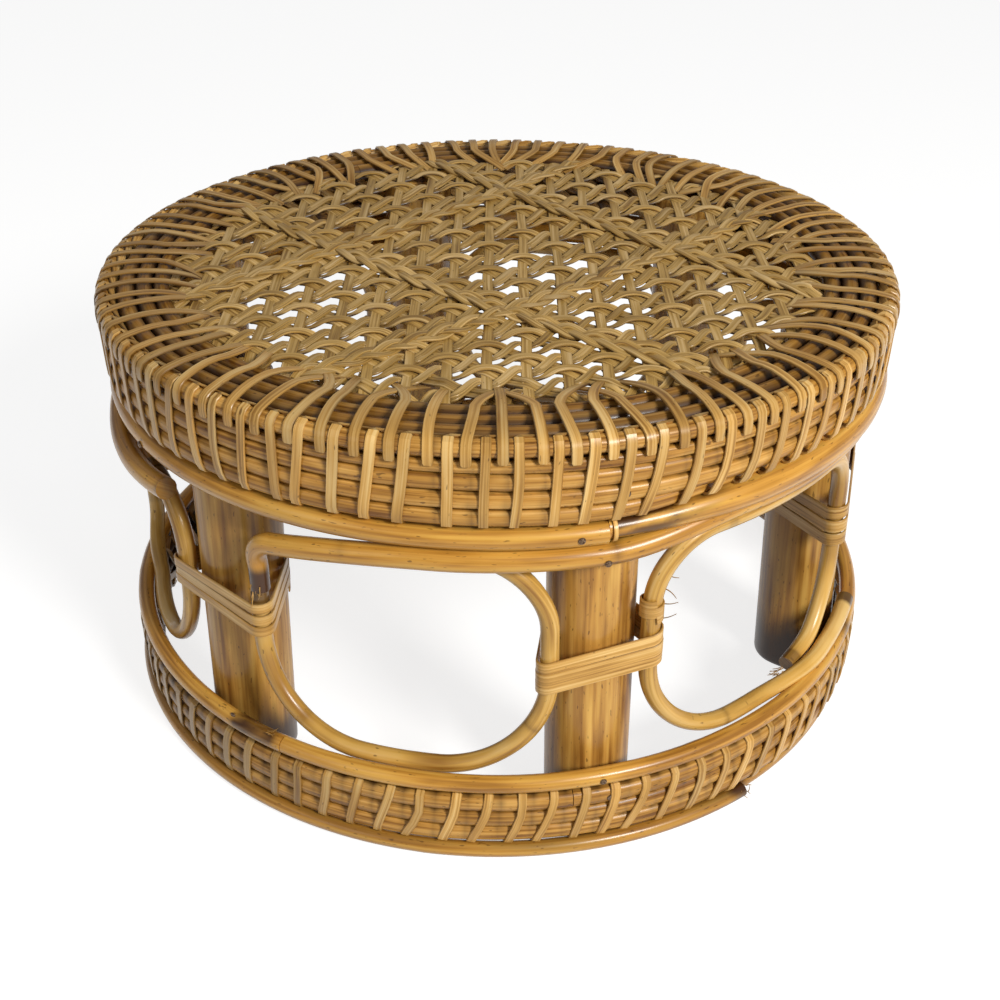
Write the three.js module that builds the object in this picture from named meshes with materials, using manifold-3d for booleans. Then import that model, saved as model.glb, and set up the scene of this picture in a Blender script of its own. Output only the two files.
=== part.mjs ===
// A low round cane stool: six poles between a drum-shaped seat rim and a base ring,
// bent cane loops between the poles, an openwork woven seat and wrapped bindings.
// Millimetres, +Z up. The origin is on the floor, on the stool's own axis.
// Angles run round that axis from the front (-Y) towards the right (+X).

import * as THREE from 'three';
import { mergeVertices } from 'three/addons/utils/BufferGeometryUtils.js';
import Module from 'manifold-3d';

// Overall sizes
const seatRadius = 178;
const seatHeight = 196.9;
const baseRadius = 186;
const fitGap = 0.3;

// Flat binding cane, cut in strips
const stripThickness = 0.9;
const stripWidth = 4.1;
const bindingTurns = 84;
const bindingPieces = 4;
const seatBindingLean = 4;
const baseBindingLean = 6.2;

// Round rods, given by their radius; the side rods are listed from the top down
const cornerRodRadius = 3.5;
const rimRodRadius = 3.7;
const sideRodRadii = [2.6, 3.5, 3.5, 3.5];
const hoopRadius = 4.8;
const baseRodRadius = 4.1;
const baseHoopRadius = 3.9;
const footHoopRadius = 3.6;
const loopRodRadius = 3.9;
const rimRods = 3;
const baseRods = 3;
const hoopInset = 0.2;
const baseHoopInset = 2.6;
const baseBindingInset = 1.8;
const rodSides = 6;
const ringSteps = 36;

// Hoop joints and the slack place of the lower hoop, whose other end is bent down by a pole
const rodEndGap = 0.5;
const upperHoopJoint = 13.5;
const lowerHoopEnd = -58;
const slackAngle = -76;
const slackHalfWidth = 30;
const slackOut = 3.4;
const slackDrop = 5;
const hoopBend = 24;
const hoopBendRise = 8;
const hoopSteps = 72;

// Poles
const poleRadius = 18.3;
const poleEdge = 1.4;
const poleSides = 12;
const poleAngles = [-46.5, 14.4, 76, 136.5, 197, 254];

// Bent loops between the poles; the first one starts under the lower hoop's bent end
const loopTopInset = 4.6;
const loopBottomInset = 8.4;
const loopTopCorner = 28;
const loopBottomCorner = 46;
const loopSpanShares = [0.69, 0.69, 0.69, 0.69, 0.69, 0.67];
const loopLeans = [2.05, -2.9, 0, 0, 0, 4.2];
const loopStarts = [0.708, 0.33, 0.08, 0.08, 0.08, 0.4];
const loopLengths = [0.8, 1, 1, 1, 1, 1];
const loopSteps = 24;

// Lashings that tie the loops to the poles
const lashingTurns = 3;
const lashingGap = 0.6;
const lashingSlack = 1.1;
const bendsAtPole = 3;
const bendsAtLoop = 2;

// Woven seat: a lattice of cells between upright strands, with a hole in every other cell
const strandPitch = 15.4;
const strandWidth = 4.5;
const rowPitch = 15.4;
const rowSpread = 0.25;
const weaveCentreX = 4;
const weaveCentreY = 7;
const holeHeight = 12.6;
const holeShoulder = 6.4;
const weaveThickness = 2;
const weaveDip = 0.7;
const weaveMargin = 6.5;
const braidCells = 5;

// Points per edge where the gap between turns is measured
const gapSamples = 6;

// Small numbers that follow from the sizes above
const halfTurn = 180;
const fullTurn = 2 * halfTurn;
const flatShare = Math.cos(Math.PI / rodSides);
const chordShare = Math.cos(Math.PI / ringSteps);
const stripPassage = stripThickness + 2 * fitGap;
const turnAngle = fullTurn / bindingTurns;

// Heights and radii of the rim, from the seat's top down
const rimTop = seatHeight - stripThickness - fitGap;
const cornerRodHeight = rimTop - cornerRodRadius;
const cornerRodPlace = seatRadius - stripThickness - fitGap - cornerRodRadius * flatShare;
const rimRodHeight = rimTop - rimRodRadius * flatShare;
const rimRodPitch = 2 * rimRodRadius + fitGap;
const cornerRodInner = cornerRodPlace * chordShare - cornerRodRadius * flatShare;
const firstRimRod = cornerRodInner - stripPassage - rimRodRadius;
const rimInnerRadius = firstRimRod - (rimRods - 1) * rimRodPitch - rimRodRadius;
const rimOuter = cornerRodPlace + cornerRodRadius * flatShare;
const sideRodHeights = [];
let rimBottom = cornerRodHeight - cornerRodRadius;
sideRodRadii.forEach((radius) => {
  sideRodHeights.push(rimBottom - fitGap - radius);
  rimBottom -= fitGap + 2 * radius;
});
const upperHoopHeight = rimBottom - stripPassage - hoopRadius;
const lowerHoopHeight = upperHoopHeight - 2 * hoopRadius - fitGap;
const hoopPlace = seatRadius - hoopInset - hoopRadius;
const hoopInnerRadius = hoopPlace * chordShare - hoopRadius;

// Heights and radii of the base, from the floor up
const footHoopHeight = footHoopRadius * flatShare;
const footHoopPlace = baseRadius - footHoopRadius;
const baseBindingRadius = baseRadius - baseBindingInset;
const baseRodPlace = baseBindingRadius - stripThickness - fitGap - baseRodRadius * flatShare;
const baseRodPitch = 2 * baseRodRadius + fitGap;
const firstBaseRod = 2 * footHoopHeight + stripPassage + baseRodRadius;
const baseRodTop = firstBaseRod + (baseRods - 1) * baseRodPitch + baseRodRadius;
const baseHoopHeight = baseRodTop + stripPassage + baseHoopRadius;
const baseHoopPlace = baseRadius - baseHoopInset - baseHoopRadius;
const baseInnerRadius = baseRodPlace * chordShare - baseRodRadius * flatShare - stripPassage;

// Poles touch the hoops above and the binding below, wherever their lean brings them nearest
const poleTop = rimRodHeight - rimRodRadius * flatShare - fitGap;
const poleHighPlace = hoopInnerRadius - fitGap - poleRadius;
const poleLowPlace = baseInnerRadius - poleRadius;
const poleLeansOut = poleLowPlace > poleHighPlace;
const poleLowHeight = poleLeansOut ? firstBaseRod - baseRodRadius : baseRodTop;
const poleHighHeight = (poleLeansOut ? lowerHoopHeight : upperHoopHeight) + hoopRadius;
const poleSlope = (poleLowPlace - poleHighPlace) / (poleHighHeight - poleLowHeight);
const polePlaceAt = (height) => poleLowPlace - poleSlope * (height - poleLowHeight);

// Loops stand on the base hoop and reach up to the lower hoop
const seatedRise = (reach, offset) => Math.sqrt(reach * reach - offset * offset);
const loopReachAbove = hoopRadius + loopRodRadius + fitGap;
const loopReachBelow = baseHoopRadius + loopRodRadius + fitGap;
const loopTopRadius = hoopPlace - loopTopInset;
const loopBottomRadius = baseHoopPlace - loopBottomInset;
const loopTop = lowerHoopHeight
  - seatedRise(loopReachAbove, hoopPlace * chordShare - loopTopRadius);
const loopBottom = baseHoopHeight
  + seatedRise(loopReachBelow, baseHoopPlace * chordShare - loopBottomRadius);
const loopMiddle = (loopTop + loopBottom) / 2;
const loopPlaceAt = (height) => THREE.MathUtils.mapLinear(height, loopBottom, loopTop,
  loopBottomRadius, loopTopRadius);

// Materials
const finish = (color, roughness) => new THREE.MeshStandardMaterial({ color, roughness, metalness: 0 });
const weaveCane = finish(0xa98a52, 0.55);
const bindingCane = finish(0xc79c4f, 0.5);
const rodCane = finish(0xb98b43, 0.45);
const hoopCane = finish(0xc8963c, 0.35);
const poleCane = finish(0xb88a40, 0.4);

const stool = new THREE.Group();

function addPiece(name, geometry, material) {
  const mesh = new THREE.Mesh(geometry, material);
  mesh.name = name;
  stool.add(mesh);
  return mesh;
}

// A point on the cylinder round the stool's axis
function around(radius, angle, height) {
  const a = THREE.MathUtils.degToRad(angle);
  return new THREE.Vector3(radius * Math.sin(a), -radius * Math.cos(a), height);
}

// The angle that a length takes on a circle
const angleOf = (length, radius) => THREE.MathUtils.radToDeg(length / radius);

// Corners of a rod's section; a whole number of quarter steps turns a corner or a flat upwards
function sectionCorners(radius, quarterSteps) {
  const corners = [];
  for (let i = 0; i < rodSides; i += 1) {
    const a = (2 * Math.PI * (i + quarterSteps / 2)) / rodSides;
    corners.push(new THREE.Vector2(radius * Math.cos(a), radius * Math.sin(a)));
  }
  return corners;
}

// A closed ring of round rod
function rodRing(place, height, radius, quarterSteps) {
  const corners = sectionCorners(radius, quarterSteps);
  const profile = corners.map((c) => new THREE.Vector2(place + c.x, height + c.y));
  profile.push(profile[0].clone());
  return new THREE.LatheGeometry(profile, ringSteps).rotateX(Math.PI / 2);
}

// A rod bent along a curve, with two sawn ends
function bentRod(curve, radius, steps) {
  const section = new THREE.Shape(sectionCorners(radius, 0));
  return new THREE.ExtrudeGeometry(section, { steps, extrudePath: curve });
}

// A level hoop with a butt joint
class HoopCurve extends THREE.Curve {
  constructor(joint, hoopAt, height) {
    super();
    this.joint = joint;
    this.hoopAt = hoopAt;
    this.height = height;
  }

  getPoint(t, target = new THREE.Vector3()) {
    const gapAngle = angleOf(rodEndGap, this.hoopAt);
    const angle = this.joint + gapAngle / 2 + t * (fullTurn - gapAngle);
    return target.copy(around(this.hoopAt, angle, this.height));
  }
}

// A hoop that hangs slack at one end and is bent down to a loop's left side at the other
class BentHoopCurve extends THREE.Curve {
  constructor(limbAngle, limbEnd) {
    super();
    this.limbAngle = limbAngle;
    this.bendStart = limbAngle + angleOf(hoopBend, hoopPlace);
    this.ringTurn = fullTurn - (this.bendStart - lowerHoopEnd);
    this.ringLength = THREE.MathUtils.degToRad(this.ringTurn) * hoopPlace;
    this.bendLength = (Math.PI / 2) * hoopBend;
    this.limbLength = lowerHoopHeight - hoopBend - limbEnd;
    this.total = this.ringLength + this.bendLength + this.limbLength;
  }

  getPoint(t, target = new THREE.Vector3()) {
    const length = t * this.total;
    if (length <= this.ringLength) {
      const angle = lowerHoopEnd - this.ringTurn * (length / this.ringLength);
      const slack = slackAt(angle);
      return target.copy(
        around(hoopPlace + slackOut * slack, angle, lowerHoopHeight - slackDrop * slack),
      );
    }
    const turned = Math.min((length - this.ringLength) / hoopBend, Math.PI / 2);
    const straight = Math.max(0, length - this.ringLength - this.bendLength);
    const height = lowerHoopHeight - hoopBend * (1 - Math.cos(turned)) - straight;
    const angle = this.bendStart - angleOf(hoopBend * Math.sin(turned), hoopPlace);
    const inwards = THREE.MathUtils.smoothstep(lowerHoopHeight - height, 0, hoopBend + hoopBendRise);
    const place = THREE.MathUtils.lerp(hoopPlace, loopPlaceAt(height), inwards);
    return target.copy(around(place, angle, height));
  }
}

// How slack the lower hoop is at an angle: 0 where it is tight, 1 in the middle of the slack
function slackAt(angle) {
  const away = THREE.MathUtils.euclideanModulo(angle - slackAngle + halfTurn, fullTurn) - halfTurn;
  if (Math.abs(away) >= slackHalfWidth) {
    return 0;
  }
  return (1 + Math.cos((Math.PI * away) / slackHalfWidth)) / 2;
}

// A strand of flat cane through a list of sections of four corners each
function strandGeometry(sections) {
  const positions = [];
  const indices = [];
  sections.forEach((corners) => corners.forEach((corner) => positions.push(corner.x, corner.y, corner.z)));
  for (let i = 0; i < sections.length - 1; i += 1) {
    for (let k = 0; k < 4; k += 1) {
      const a = 4 * i + k;
      const b = 4 * i + ((k + 1) % 4);
      indices.push(a, b, a + 4, b, b + 4, a + 4);
    }
  }
  const last = 4 * (sections.length - 1);
  indices.push(0, 2, 1, 0, 3, 2);
  indices.push(last, last + 1, last + 2, last, last + 2, last + 3);
  const geometry = new THREE.BufferGeometry();
  geometry.setAttribute('position', new THREE.Float32BufferAttribute(positions, 3));
  geometry.setIndex(indices);
  return geometry;
}

// One section of a binding: the side by the rods, then the side away from them
function bindingSection(near, far, angle) {
  const nearHalf = angleOf(stripWidth / 2, near.x);
  const farHalf = angleOf(stripWidth / 2, far.x);
  return [
    around(near.x, angle - nearHalf, near.y),
    around(near.x, angle + nearHalf, near.y),
    around(far.x, angle + farHalf, far.y),
    around(far.x, angle - farHalf, far.y),
  ];
}

// Wraps a stack of rods: in at the top, down the outside and up again on the inside
function bindingStrand(stack, firstTurn, turns, lean) {
  const near = {
    outer: stack.outer + fitGap,
    inner: stack.inner - fitGap,
    top: stack.top + fitGap,
    bottom: stack.bottom - fitGap,
  };
  const far = {
    outer: near.outer + stripThickness,
    inner: near.inner - stripThickness,
    top: near.top + stripThickness,
    bottom: near.bottom - stripThickness,
  };
  const corner = (side, end, angle) => bindingSection(
    new THREE.Vector2(near[side], near[end]),
    new THREE.Vector2(far[side], far[end]),
    angle,
  );
  const middle = (stack.top + stack.bottom) / 2;
  const halfLean = angleOf(lean / 2, stack.outer);
  const startAngle = (firstTurn + 0.5) * turnAngle;
  const endAngle = startAngle + turns * turnAngle;
  const tail = (angle, height) => bindingSection(
    new THREE.Vector2(near.inner, height),
    new THREE.Vector2(far.inner, height),
    angle,
  );
  const sections = [tail(startAngle - turnAngle / 2, middle + stripWidth / 2)];
  for (let i = 0; i < turns; i += 1) {
    const angle = startAngle + i * turnAngle;
    sections.push(corner('inner', 'top', angle + halfLean));
    sections.push(corner('outer', 'top', angle + halfLean));
    sections.push(corner('outer', 'bottom', angle - halfLean));
    sections.push(corner('inner', 'bottom', angle - halfLean));
  }
  sections.push(tail(endAngle - turnAngle / 2, middle - stripWidth / 2));
  return sections;
}

// Points along the four edges of one run of a strand, from a section to the next
function pointsOfRun(from, to) {
  const points = [];
  for (let k = 0; k < from.length; k += 1) {
    for (let n = 0; n < gapSamples; n += 1) {
      points.push(from[k].clone().lerp(to[k], n / gapSamples));
    }
  }
  return points;
}

// Prints the least distance between neighbouring turns of a strand, measured on those points
function printLeastGap(name, sections, runsPerTurn) {
  const runs = sections.slice(1).map((section, i) => pointsOfRun(sections[i], section));
  let least = Infinity;
  runs.forEach((run, i) => {
    runs.slice(i + runsPerTurn - 1, i + runsPerTurn + 2).forEach((other) => {
      run.forEach((p) => other.forEach((q) => {
        least = Math.min(least, p.distanceTo(q));
      }));
    });
  });
  console.log(`${name}: least gap between turns ${least.toFixed(2)} mm`);
}

function addBinding(name, stack, lean) {
  const turns = bindingTurns / bindingPieces;
  for (let i = 0; i < bindingPieces; i += 1) {
    const sections = bindingStrand(stack, i * turns, turns, lean);
    printLeastGap(`${name}_${i + 1}`, sections, (sections.length - 2) / turns);
    addPiece(`${name}_${i + 1}`, strandGeometry(sections), bindingCane);
  }
}

// Rim: a corner rod, rods laid side by side on top and rods stacked below the corner
addPiece('corner_rod', rodRing(cornerRodPlace, cornerRodHeight, cornerRodRadius, 1), rodCane);
for (let i = 0; i < rimRods; i += 1) {
  const place = firstRimRod - i * rimRodPitch;
  addPiece(`rim_rod_${i + 1}`, rodRing(place, rimRodHeight, rimRodRadius, 0), rodCane);
}
sideRodRadii.forEach((radius, i) => {
  const ring = rodRing(rimOuter - radius * flatShare, sideRodHeights[i], radius, 1);
  addPiece(`side_rod_${i + 1}`, ring, rodCane);
});
addBinding('seat_binding', {
  outer: rimOuter,
  inner: cornerRodInner,
  top: rimTop,
  bottom: rimBottom,
}, seatBindingLean);

// Where a loop stands between its two poles
const loops = poleAngles.map((angle, i) => {
  const next = poleAngles[(i + 1) % poleAngles.length];
  const spacing = THREE.MathUtils.euclideanModulo(next - angle, fullTurn);
  return {
    centre: angle + spacing / 2 + loopLeans[i],
    half: (spacing * loopSpanShares[i]) / 2,
    drop: i === poleAngles.length - 1 ? slackDrop : 0,
    start: loopStarts[i],
    length: loopLengths[i],
  };
});

// A rounded window frame bent round the stool; its ends meet, unless it is shorter than that
class LoopCurve extends THREE.Curve {
  constructor(loop) {
    super();
    this.loop = loop;
    this.width = 2 * THREE.MathUtils.degToRad(loop.half) * loopPlaceAt(loopMiddle);
    this.height = loopTop - loop.drop - loopBottom;
    const w = this.width / 2;
    const h = this.height / 2;
    const low = Math.min(loopBottomCorner, h);
    const high = Math.min(loopTopCorner, h);
    const straight = new THREE.Path();
    straight.moveTo(0, -h);
    straight.lineTo(w - low, -h);
    straight.absarc(w - low, low - h, low, -Math.PI / 2, 0, false);
    straight.absarc(w - high, h - high, high, 0, Math.PI / 2, false);
    straight.absarc(high - w, h - high, high, Math.PI / 2, Math.PI, false);
    straight.absarc(low - w, low - h, low, Math.PI, (3 * Math.PI) / 2, false);
    straight.lineTo(0, -h);
    this.outline = straight;
    this.ends = rodEndGap / straight.getLength();
  }

  getPoint(t, target = new THREE.Vector3()) {
    const run = this.loop.length - this.ends;
    const share = THREE.MathUtils.euclideanModulo(this.loop.start + t * run, 1);
    const flat = this.outline.getPointAt(share);
    const height = loopBottom + this.height / 2 + flat.y;
    const place = loopPlaceAt(height);
    const angle = this.loop.centre + angleOf(flat.x, loopPlaceAt(loopMiddle));
    return target.copy(around(place, angle, height));
  }
}

// Hoops under the rim; the lower one ends above the start of the first loop
const firstLoopTop = new LoopCurve(loops[0]).getPoint(0).z;
const upperCurve = new HoopCurve(upperHoopJoint, hoopPlace, upperHoopHeight);
const lowerCurve = new BentHoopCurve(loops[0].centre - loops[0].half, firstLoopTop + rodEndGap);
addPiece('upper_hoop', bentRod(upperCurve, hoopRadius, ringSteps), hoopCane);
addPiece('lower_hoop', bentRod(lowerCurve, hoopRadius, hoopSteps), hoopCane);

// Base: a foot hoop on the floor, stacked rods in their binding and a hoop on top
addPiece('foot_hoop', rodRing(footHoopPlace, footHoopHeight, footHoopRadius, 0), hoopCane);
for (let i = 0; i < baseRods; i += 1) {
  const height = firstBaseRod + (baseRods - 1 - i) * baseRodPitch;
  addPiece(`base_rod_${i + 1}`, rodRing(baseRodPlace, height, baseRodRadius, 1), rodCane);
}
addPiece('base_hoop', rodRing(baseHoopPlace, baseHoopHeight, baseHoopRadius, 1), hoopCane);
addBinding('base_binding', {
  outer: baseRodPlace + baseRodRadius * flatShare,
  inner: baseRodPlace * chordShare - baseRodRadius * flatShare,
  top: baseRodTop,
  bottom: firstBaseRod - baseRodRadius,
}, baseBindingLean);

// Poles with level ends and eased edges, leaning outwards to the floor
const poleProfile = [
  new THREE.Vector2(0, 0),
  new THREE.Vector2(poleRadius - poleEdge, 0),
  new THREE.Vector2(poleRadius, poleEdge),
  new THREE.Vector2(poleRadius, poleTop - poleEdge),
  new THREE.Vector2(poleRadius - poleEdge, poleTop),
  new THREE.Vector2(0, poleTop),
];
const poleShear = new THREE.Matrix4().makeShear(0, 0, 0, 0, 0, poleSlope);
poleAngles.forEach((angle, i) => {
  const geometry = new THREE.LatheGeometry(poleProfile, poleSides).rotateX(Math.PI / 2);
  geometry.applyMatrix4(poleShear);
  const mesh = addPiece(`leg_${i + 1}`, geometry, poleCane);
  mesh.rotation.z = THREE.MathUtils.degToRad(angle);
  mesh.position.copy(around(polePlaceAt(0), angle, 0));
});

loops.forEach((loop, i) => {
  addPiece(`loop_${i + 1}`, bentRod(new LoopCurve(loop), loopRodRadius, loopSteps), hoopCane);
});

// Direction that the outer tangent of two rods faces, going round them to the left
function tangentFacing(from, to) {
  const across = to.at.clone().sub(from.at);
  return across.angle() - Math.acos((from.radius - to.radius) / across.length());
}

// The outline of a band pulled tight round some rods, with a number of bends at each
function tightBand(rods, clearance) {
  const corners = [];
  rods.forEach((rod, i) => {
    const last = rods[(i + rods.length - 1) % rods.length];
    const next = rods[(i + 1) % rods.length];
    const first = tangentFacing(last, rod);
    const turn = THREE.MathUtils.euclideanModulo(tangentFacing(rod, next) - first, 2 * Math.PI);
    const step = turn / rod.bends;
    for (let k = 0; k < rod.bends; k += 1) {
      const a = first + (k + 0.5) * step;
      const reach = (rod.radius + clearance) / Math.cos(step / 2);
      corners.push(new THREE.Vector2(Math.cos(a), Math.sin(a)).multiplyScalar(reach).add(rod.at));
    }
  });
  return corners;
}

// A lashing: flat cane wound round a pole and the loop sides next to it
poleAngles.forEach((angle, i) => {
  const centre = around(polePlaceAt(loopMiddle), angle, loopMiddle);
  const outward = around(1, angle, 0);
  const upward = new THREE.Vector3(0, 0, 1).addScaledVector(outward, -poleSlope).normalize();
  const sideways = new THREE.Vector3().crossVectors(upward, outward).normalize();
  const facing = new THREE.Vector3().crossVectors(sideways, upward).normalize();
  const before = loops[(i + loops.length - 1) % loops.length];
  const after = loops[i];
  const sideAngles = [before.centre + before.half, after.centre - after.half];
  const rods = [{ at: new THREE.Vector2(0, 0), radius: poleRadius, bends: bendsAtPole }];
  sideAngles.forEach((sideAngle) => {
    const side = around(loopPlaceAt(loopMiddle), sideAngle, loopMiddle).sub(centre);
    rods.push({
      at: new THREE.Vector2(side.dot(facing), side.dot(sideways)),
      radius: loopRodRadius + lashingSlack,
      bends: bendsAtLoop,
    });
  });
  const near = tightBand(rods, fitGap);
  const far = tightBand(rods, fitGap + stripThickness);
  const rise = stripWidth + lashingGap;
  const at = (corner, height) => centre.clone()
    .addScaledVector(facing, corner.x)
    .addScaledVector(sideways, corner.y)
    .addScaledVector(upward, height);
  const sections = [];
  for (let k = 0; k <= lashingTurns * near.length; k += 1) {
    const corner = k % near.length;
    const height = rise * (k / near.length - lashingTurns / 2);
    sections.push([
      at(near[corner], height - stripWidth / 2),
      at(near[corner], height + stripWidth / 2),
      at(far[corner], height + stripWidth / 2),
      at(far[corner], height - stripWidth / 2),
    ]);
  }
  printLeastGap(`lashing_${i + 1}`, sections, near.length);
  addPiece(`lashing_${i + 1}`, strandGeometry(sections), bindingCane);
});

// Woven seat
const wasm = await Module();
wasm.setup();

function solidOf(geometry) {
  geometry.deleteAttribute('normal');
  geometry.deleteAttribute('uv');
  const merged = mergeVertices(geometry);
  return new wasm.Manifold(new wasm.Mesh({
    numProp: 3,
    vertProperties: merged.getAttribute('position').array,
    triVerts: new Uint32Array(merged.index.array),
  }));
}

function geometryOf(solid) {
  const mesh = solid.getMesh();
  const geometry = new THREE.BufferGeometry();
  geometry.setAttribute('position', new THREE.Float32BufferAttribute(mesh.vertProperties, 3));
  geometry.setIndex([...mesh.triVerts]);
  return geometry;
}

function slab(shape, bottom, top) {
  return new THREE.ExtrudeGeometry(shape, { depth: top - bottom, bevelEnabled: false })
    .translate(0, 0, bottom);
}

const weaveTop = seatHeight - weaveDip;
const weaveRadius = (rimInnerRadius * chordShare) - 2 * fitGap;
const holeWidth = strandPitch - strandWidth;
const tailStart = weaveRadius - weaveMargin / 2;
const columnX = (i) => weaveCentreX + i * strandPitch;
const rowY = (j) => weaveCentreY + j * rowPitch + j * j * rowSpread;

// Cells of the lattice that stay open: every other one, except where the braids run
function isOpenCell(i, j) {
  const even = THREE.MathUtils.euclideanModulo(i + j, 2) === 0;
  const braided = Math.abs(i + j) === braidCells || Math.abs(i - j) === braidCells;
  return !even && !braided;
}

function weaveHole(i, j) {
  const x = columnX(i);
  const y = rowY(j);
  const w = holeWidth / 2;
  return new THREE.Path([
    new THREE.Vector2(x + w, y - holeShoulder / 2),
    new THREE.Vector2(x + w, y + holeShoulder / 2),
    new THREE.Vector2(x, y + holeHeight / 2),
    new THREE.Vector2(x - w, y + holeShoulder / 2),
    new THREE.Vector2(x - w, y - holeShoulder / 2),
    new THREE.Vector2(x, y - holeHeight / 2),
  ]);
}

const netOutline = [];
for (let k = 0; k < ringSteps; k += 1) {
  const p = around(weaveRadius, k * (fullTurn / ringSteps), 0);
  netOutline.push(new THREE.Vector2(p.x, p.y));
}
const net = new THREE.Shape(netOutline);
const reachCells = Math.ceil(weaveRadius / Math.min(strandPitch, rowPitch)) + 1;
for (let i = -reachCells; i <= reachCells; i += 1) {
  for (let j = -reachCells; j <= reachCells; j += 1) {
    const reach = Math.hypot(Math.abs(columnX(i)) + holeWidth / 4, Math.abs(rowY(j)) + holeHeight / 4);
    if (isOpenCell(i, j) && reach + weaveMargin + holeHeight / 4 < tailStart) {
      net.holes.push(weaveHole(i, j));
    }
  }
}

// Tails of the woven strands run out over the rim, between the turns of the binding
const tails = new THREE.Shape();
const tailShift = angleOf(seatBindingLean / 2, rimOuter);
for (let k = 0; k < bindingTurns; k += 1) {
  const angle = k * turnAngle + tailShift;
  const rootHalf = angleOf(stripWidth / 2, weaveRadius);
  const endHalf = angleOf(stripWidth / 2, rimOuter);
  const corners = [
    around(weaveRadius, angle - rootHalf, 0),
    around(rimOuter, angle - endHalf, 0),
    around(rimOuter, angle + endHalf, 0),
    around(weaveRadius, angle + rootHalf, 0),
  ];
  corners.forEach((corner, n) => {
    if (k === 0 && n === 0) {
      tails.moveTo(corner.x, corner.y);
    } else {
      tails.lineTo(corner.x, corner.y);
    }
  });
}
const tailHole = [];
for (let k = 0; k < ringSteps; k += 1) {
  const p = around(tailStart, -k * (fullTurn / ringSteps), 0);
  tailHole.push(new THREE.Vector2(p.x, p.y));
}
tails.holes.push(new THREE.Path(tailHole));

let weave = solidOf(slab(net, weaveTop - weaveThickness, weaveTop));
weave = weave.add(solidOf(slab(tails, seatHeight - stripThickness, seatHeight)));
addPiece('seat_weave', geometryOf(weave), weaveCane);

export default stool;
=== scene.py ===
import math
import random

import bmesh
import bpy
from mathutils import Matrix, Vector, noise


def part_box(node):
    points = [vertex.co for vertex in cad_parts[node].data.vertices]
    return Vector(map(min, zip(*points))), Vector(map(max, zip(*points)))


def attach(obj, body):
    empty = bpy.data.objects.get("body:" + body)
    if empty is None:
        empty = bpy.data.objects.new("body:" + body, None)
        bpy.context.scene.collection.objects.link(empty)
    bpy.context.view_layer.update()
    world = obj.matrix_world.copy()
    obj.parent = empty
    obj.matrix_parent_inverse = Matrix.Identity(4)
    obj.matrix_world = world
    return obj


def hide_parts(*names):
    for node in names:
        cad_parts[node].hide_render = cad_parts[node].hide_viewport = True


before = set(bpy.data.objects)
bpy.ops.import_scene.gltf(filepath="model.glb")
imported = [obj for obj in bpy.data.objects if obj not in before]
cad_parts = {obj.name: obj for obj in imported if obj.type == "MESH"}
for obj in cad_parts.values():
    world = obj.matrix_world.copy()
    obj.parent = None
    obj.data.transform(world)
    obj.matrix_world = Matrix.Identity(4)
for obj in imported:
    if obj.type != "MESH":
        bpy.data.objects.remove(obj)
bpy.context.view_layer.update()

# Lengths are in metres and angles in degrees, counted from the stool's front towards its right
MM = 0.001

# Flat cane strips and round canes
STRIP_HALF = 2.0 * MM
STRIP_THICK = 0.75 * MM
TURNS = 84
TURN_ANGLE = 360 / TURNS
QUARTER = TURNS // 4
ROD_SIDES = 16
RING_STEPS = 216
WRAPPED_STEPS = 5 * TURNS
SPIN_RADIUS = 10
JOINT_GAP = 0.12
FLAT_SHARE = math.cos(math.pi / 6)

# Hoops under the rim. The lower one has one slack end, and the other is bent down by a pole
HOOP_RADIUS = 4.85 * MM
HOOP_PLACE = 173.0 * MM
UPPER_HEIGHT = 155.0 * MM
UPPER_JOINT = 13.5
LOWER_HEIGHT = 145.1 * MM
LOWER_END = -50.5
SLACK_ANGLE = -64
SLACK_HALF = 35
SLACK_OUT = 3.6 * MM
SLACK_DROP = 8 * MM
HOOP_BEND = 13 * MM
HOOP_SAG = 9 * MM
SAG_INWARDS = 1.5 * MM
SAG_START = -9
SAG_POWER = 1.7

# On the right the hoops ride up and the lowest side rod is tucked in: where this starts, is
# full, begins to fade and ends
LIFT_STRETCH = (13, 34, 84, 110)

# Poles and the loops between them
POLE_ANGLES = (-46.5, 14.4, 76, 136.5, 197, 254)
POLE_RADIUS = 18.3 * MM
POLE_PLACE = 155.77 * MM
POLE_SLOPE = 0.04553
LOOP_RADIUS = 3.95 * MM
LOOP_TOP = 137.0 * MM
LOOP_BOTTOM = 40.8 * MM
LOOP_TOP_PLACE = 168.4 * MM
LOOP_BOTTOM_PLACE = 171.1 * MM
LOOP_TOP_CORNER = 28 * MM
LOOP_BOTTOM_CORNER = 46 * MM
LOOP_MIDDLE = (LOOP_TOP + LOOP_BOTTOM) / 2
LOOP_RISES = (0, 7 * MM, 0, 0, 0, -5 * MM)
LOOP_SPAN_SHARES = (0.69, 0.69, 0.69, 0.69, 0.69, 0.67)
LOOP_LEANS = (2.05, -2.9, 0, 0, 0, 4.2)
LOOP_START_SHARES = (0.708, 0.33, 0.08, 0.08, 0.08, 0.4)
LOOP_LENGTH_SHARES = (0.8, 1, 1, 1, 1, 1)

# The weave's lattice
CELL = 15.4 * MM
ROW_SPREAD = 0.25 * MM
WEAVE_X = 4 * MM
WEAVE_Y = 7 * MM
BRAID_CELLS = 5
CELLS = 10
PER_CELL = 12
EACH_STEP = range(-CELLS * PER_CELL, CELLS * PER_CELL + 1)
STRAND_HALF = 1.75 * MM
NET_HEIGHT = 194.5 * MM
NET_RADIUS = 147 * MM

draws = random.Random(7)


def spread(amount):
    """A random number between minus and plus an amount."""
    return draws.uniform(-amount, amount)


def jitter(number, salt, amount):
    """The same random number each time for one numbered strip."""
    return amount * random.Random(number * 31 + salt).uniform(-1, 1)


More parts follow.
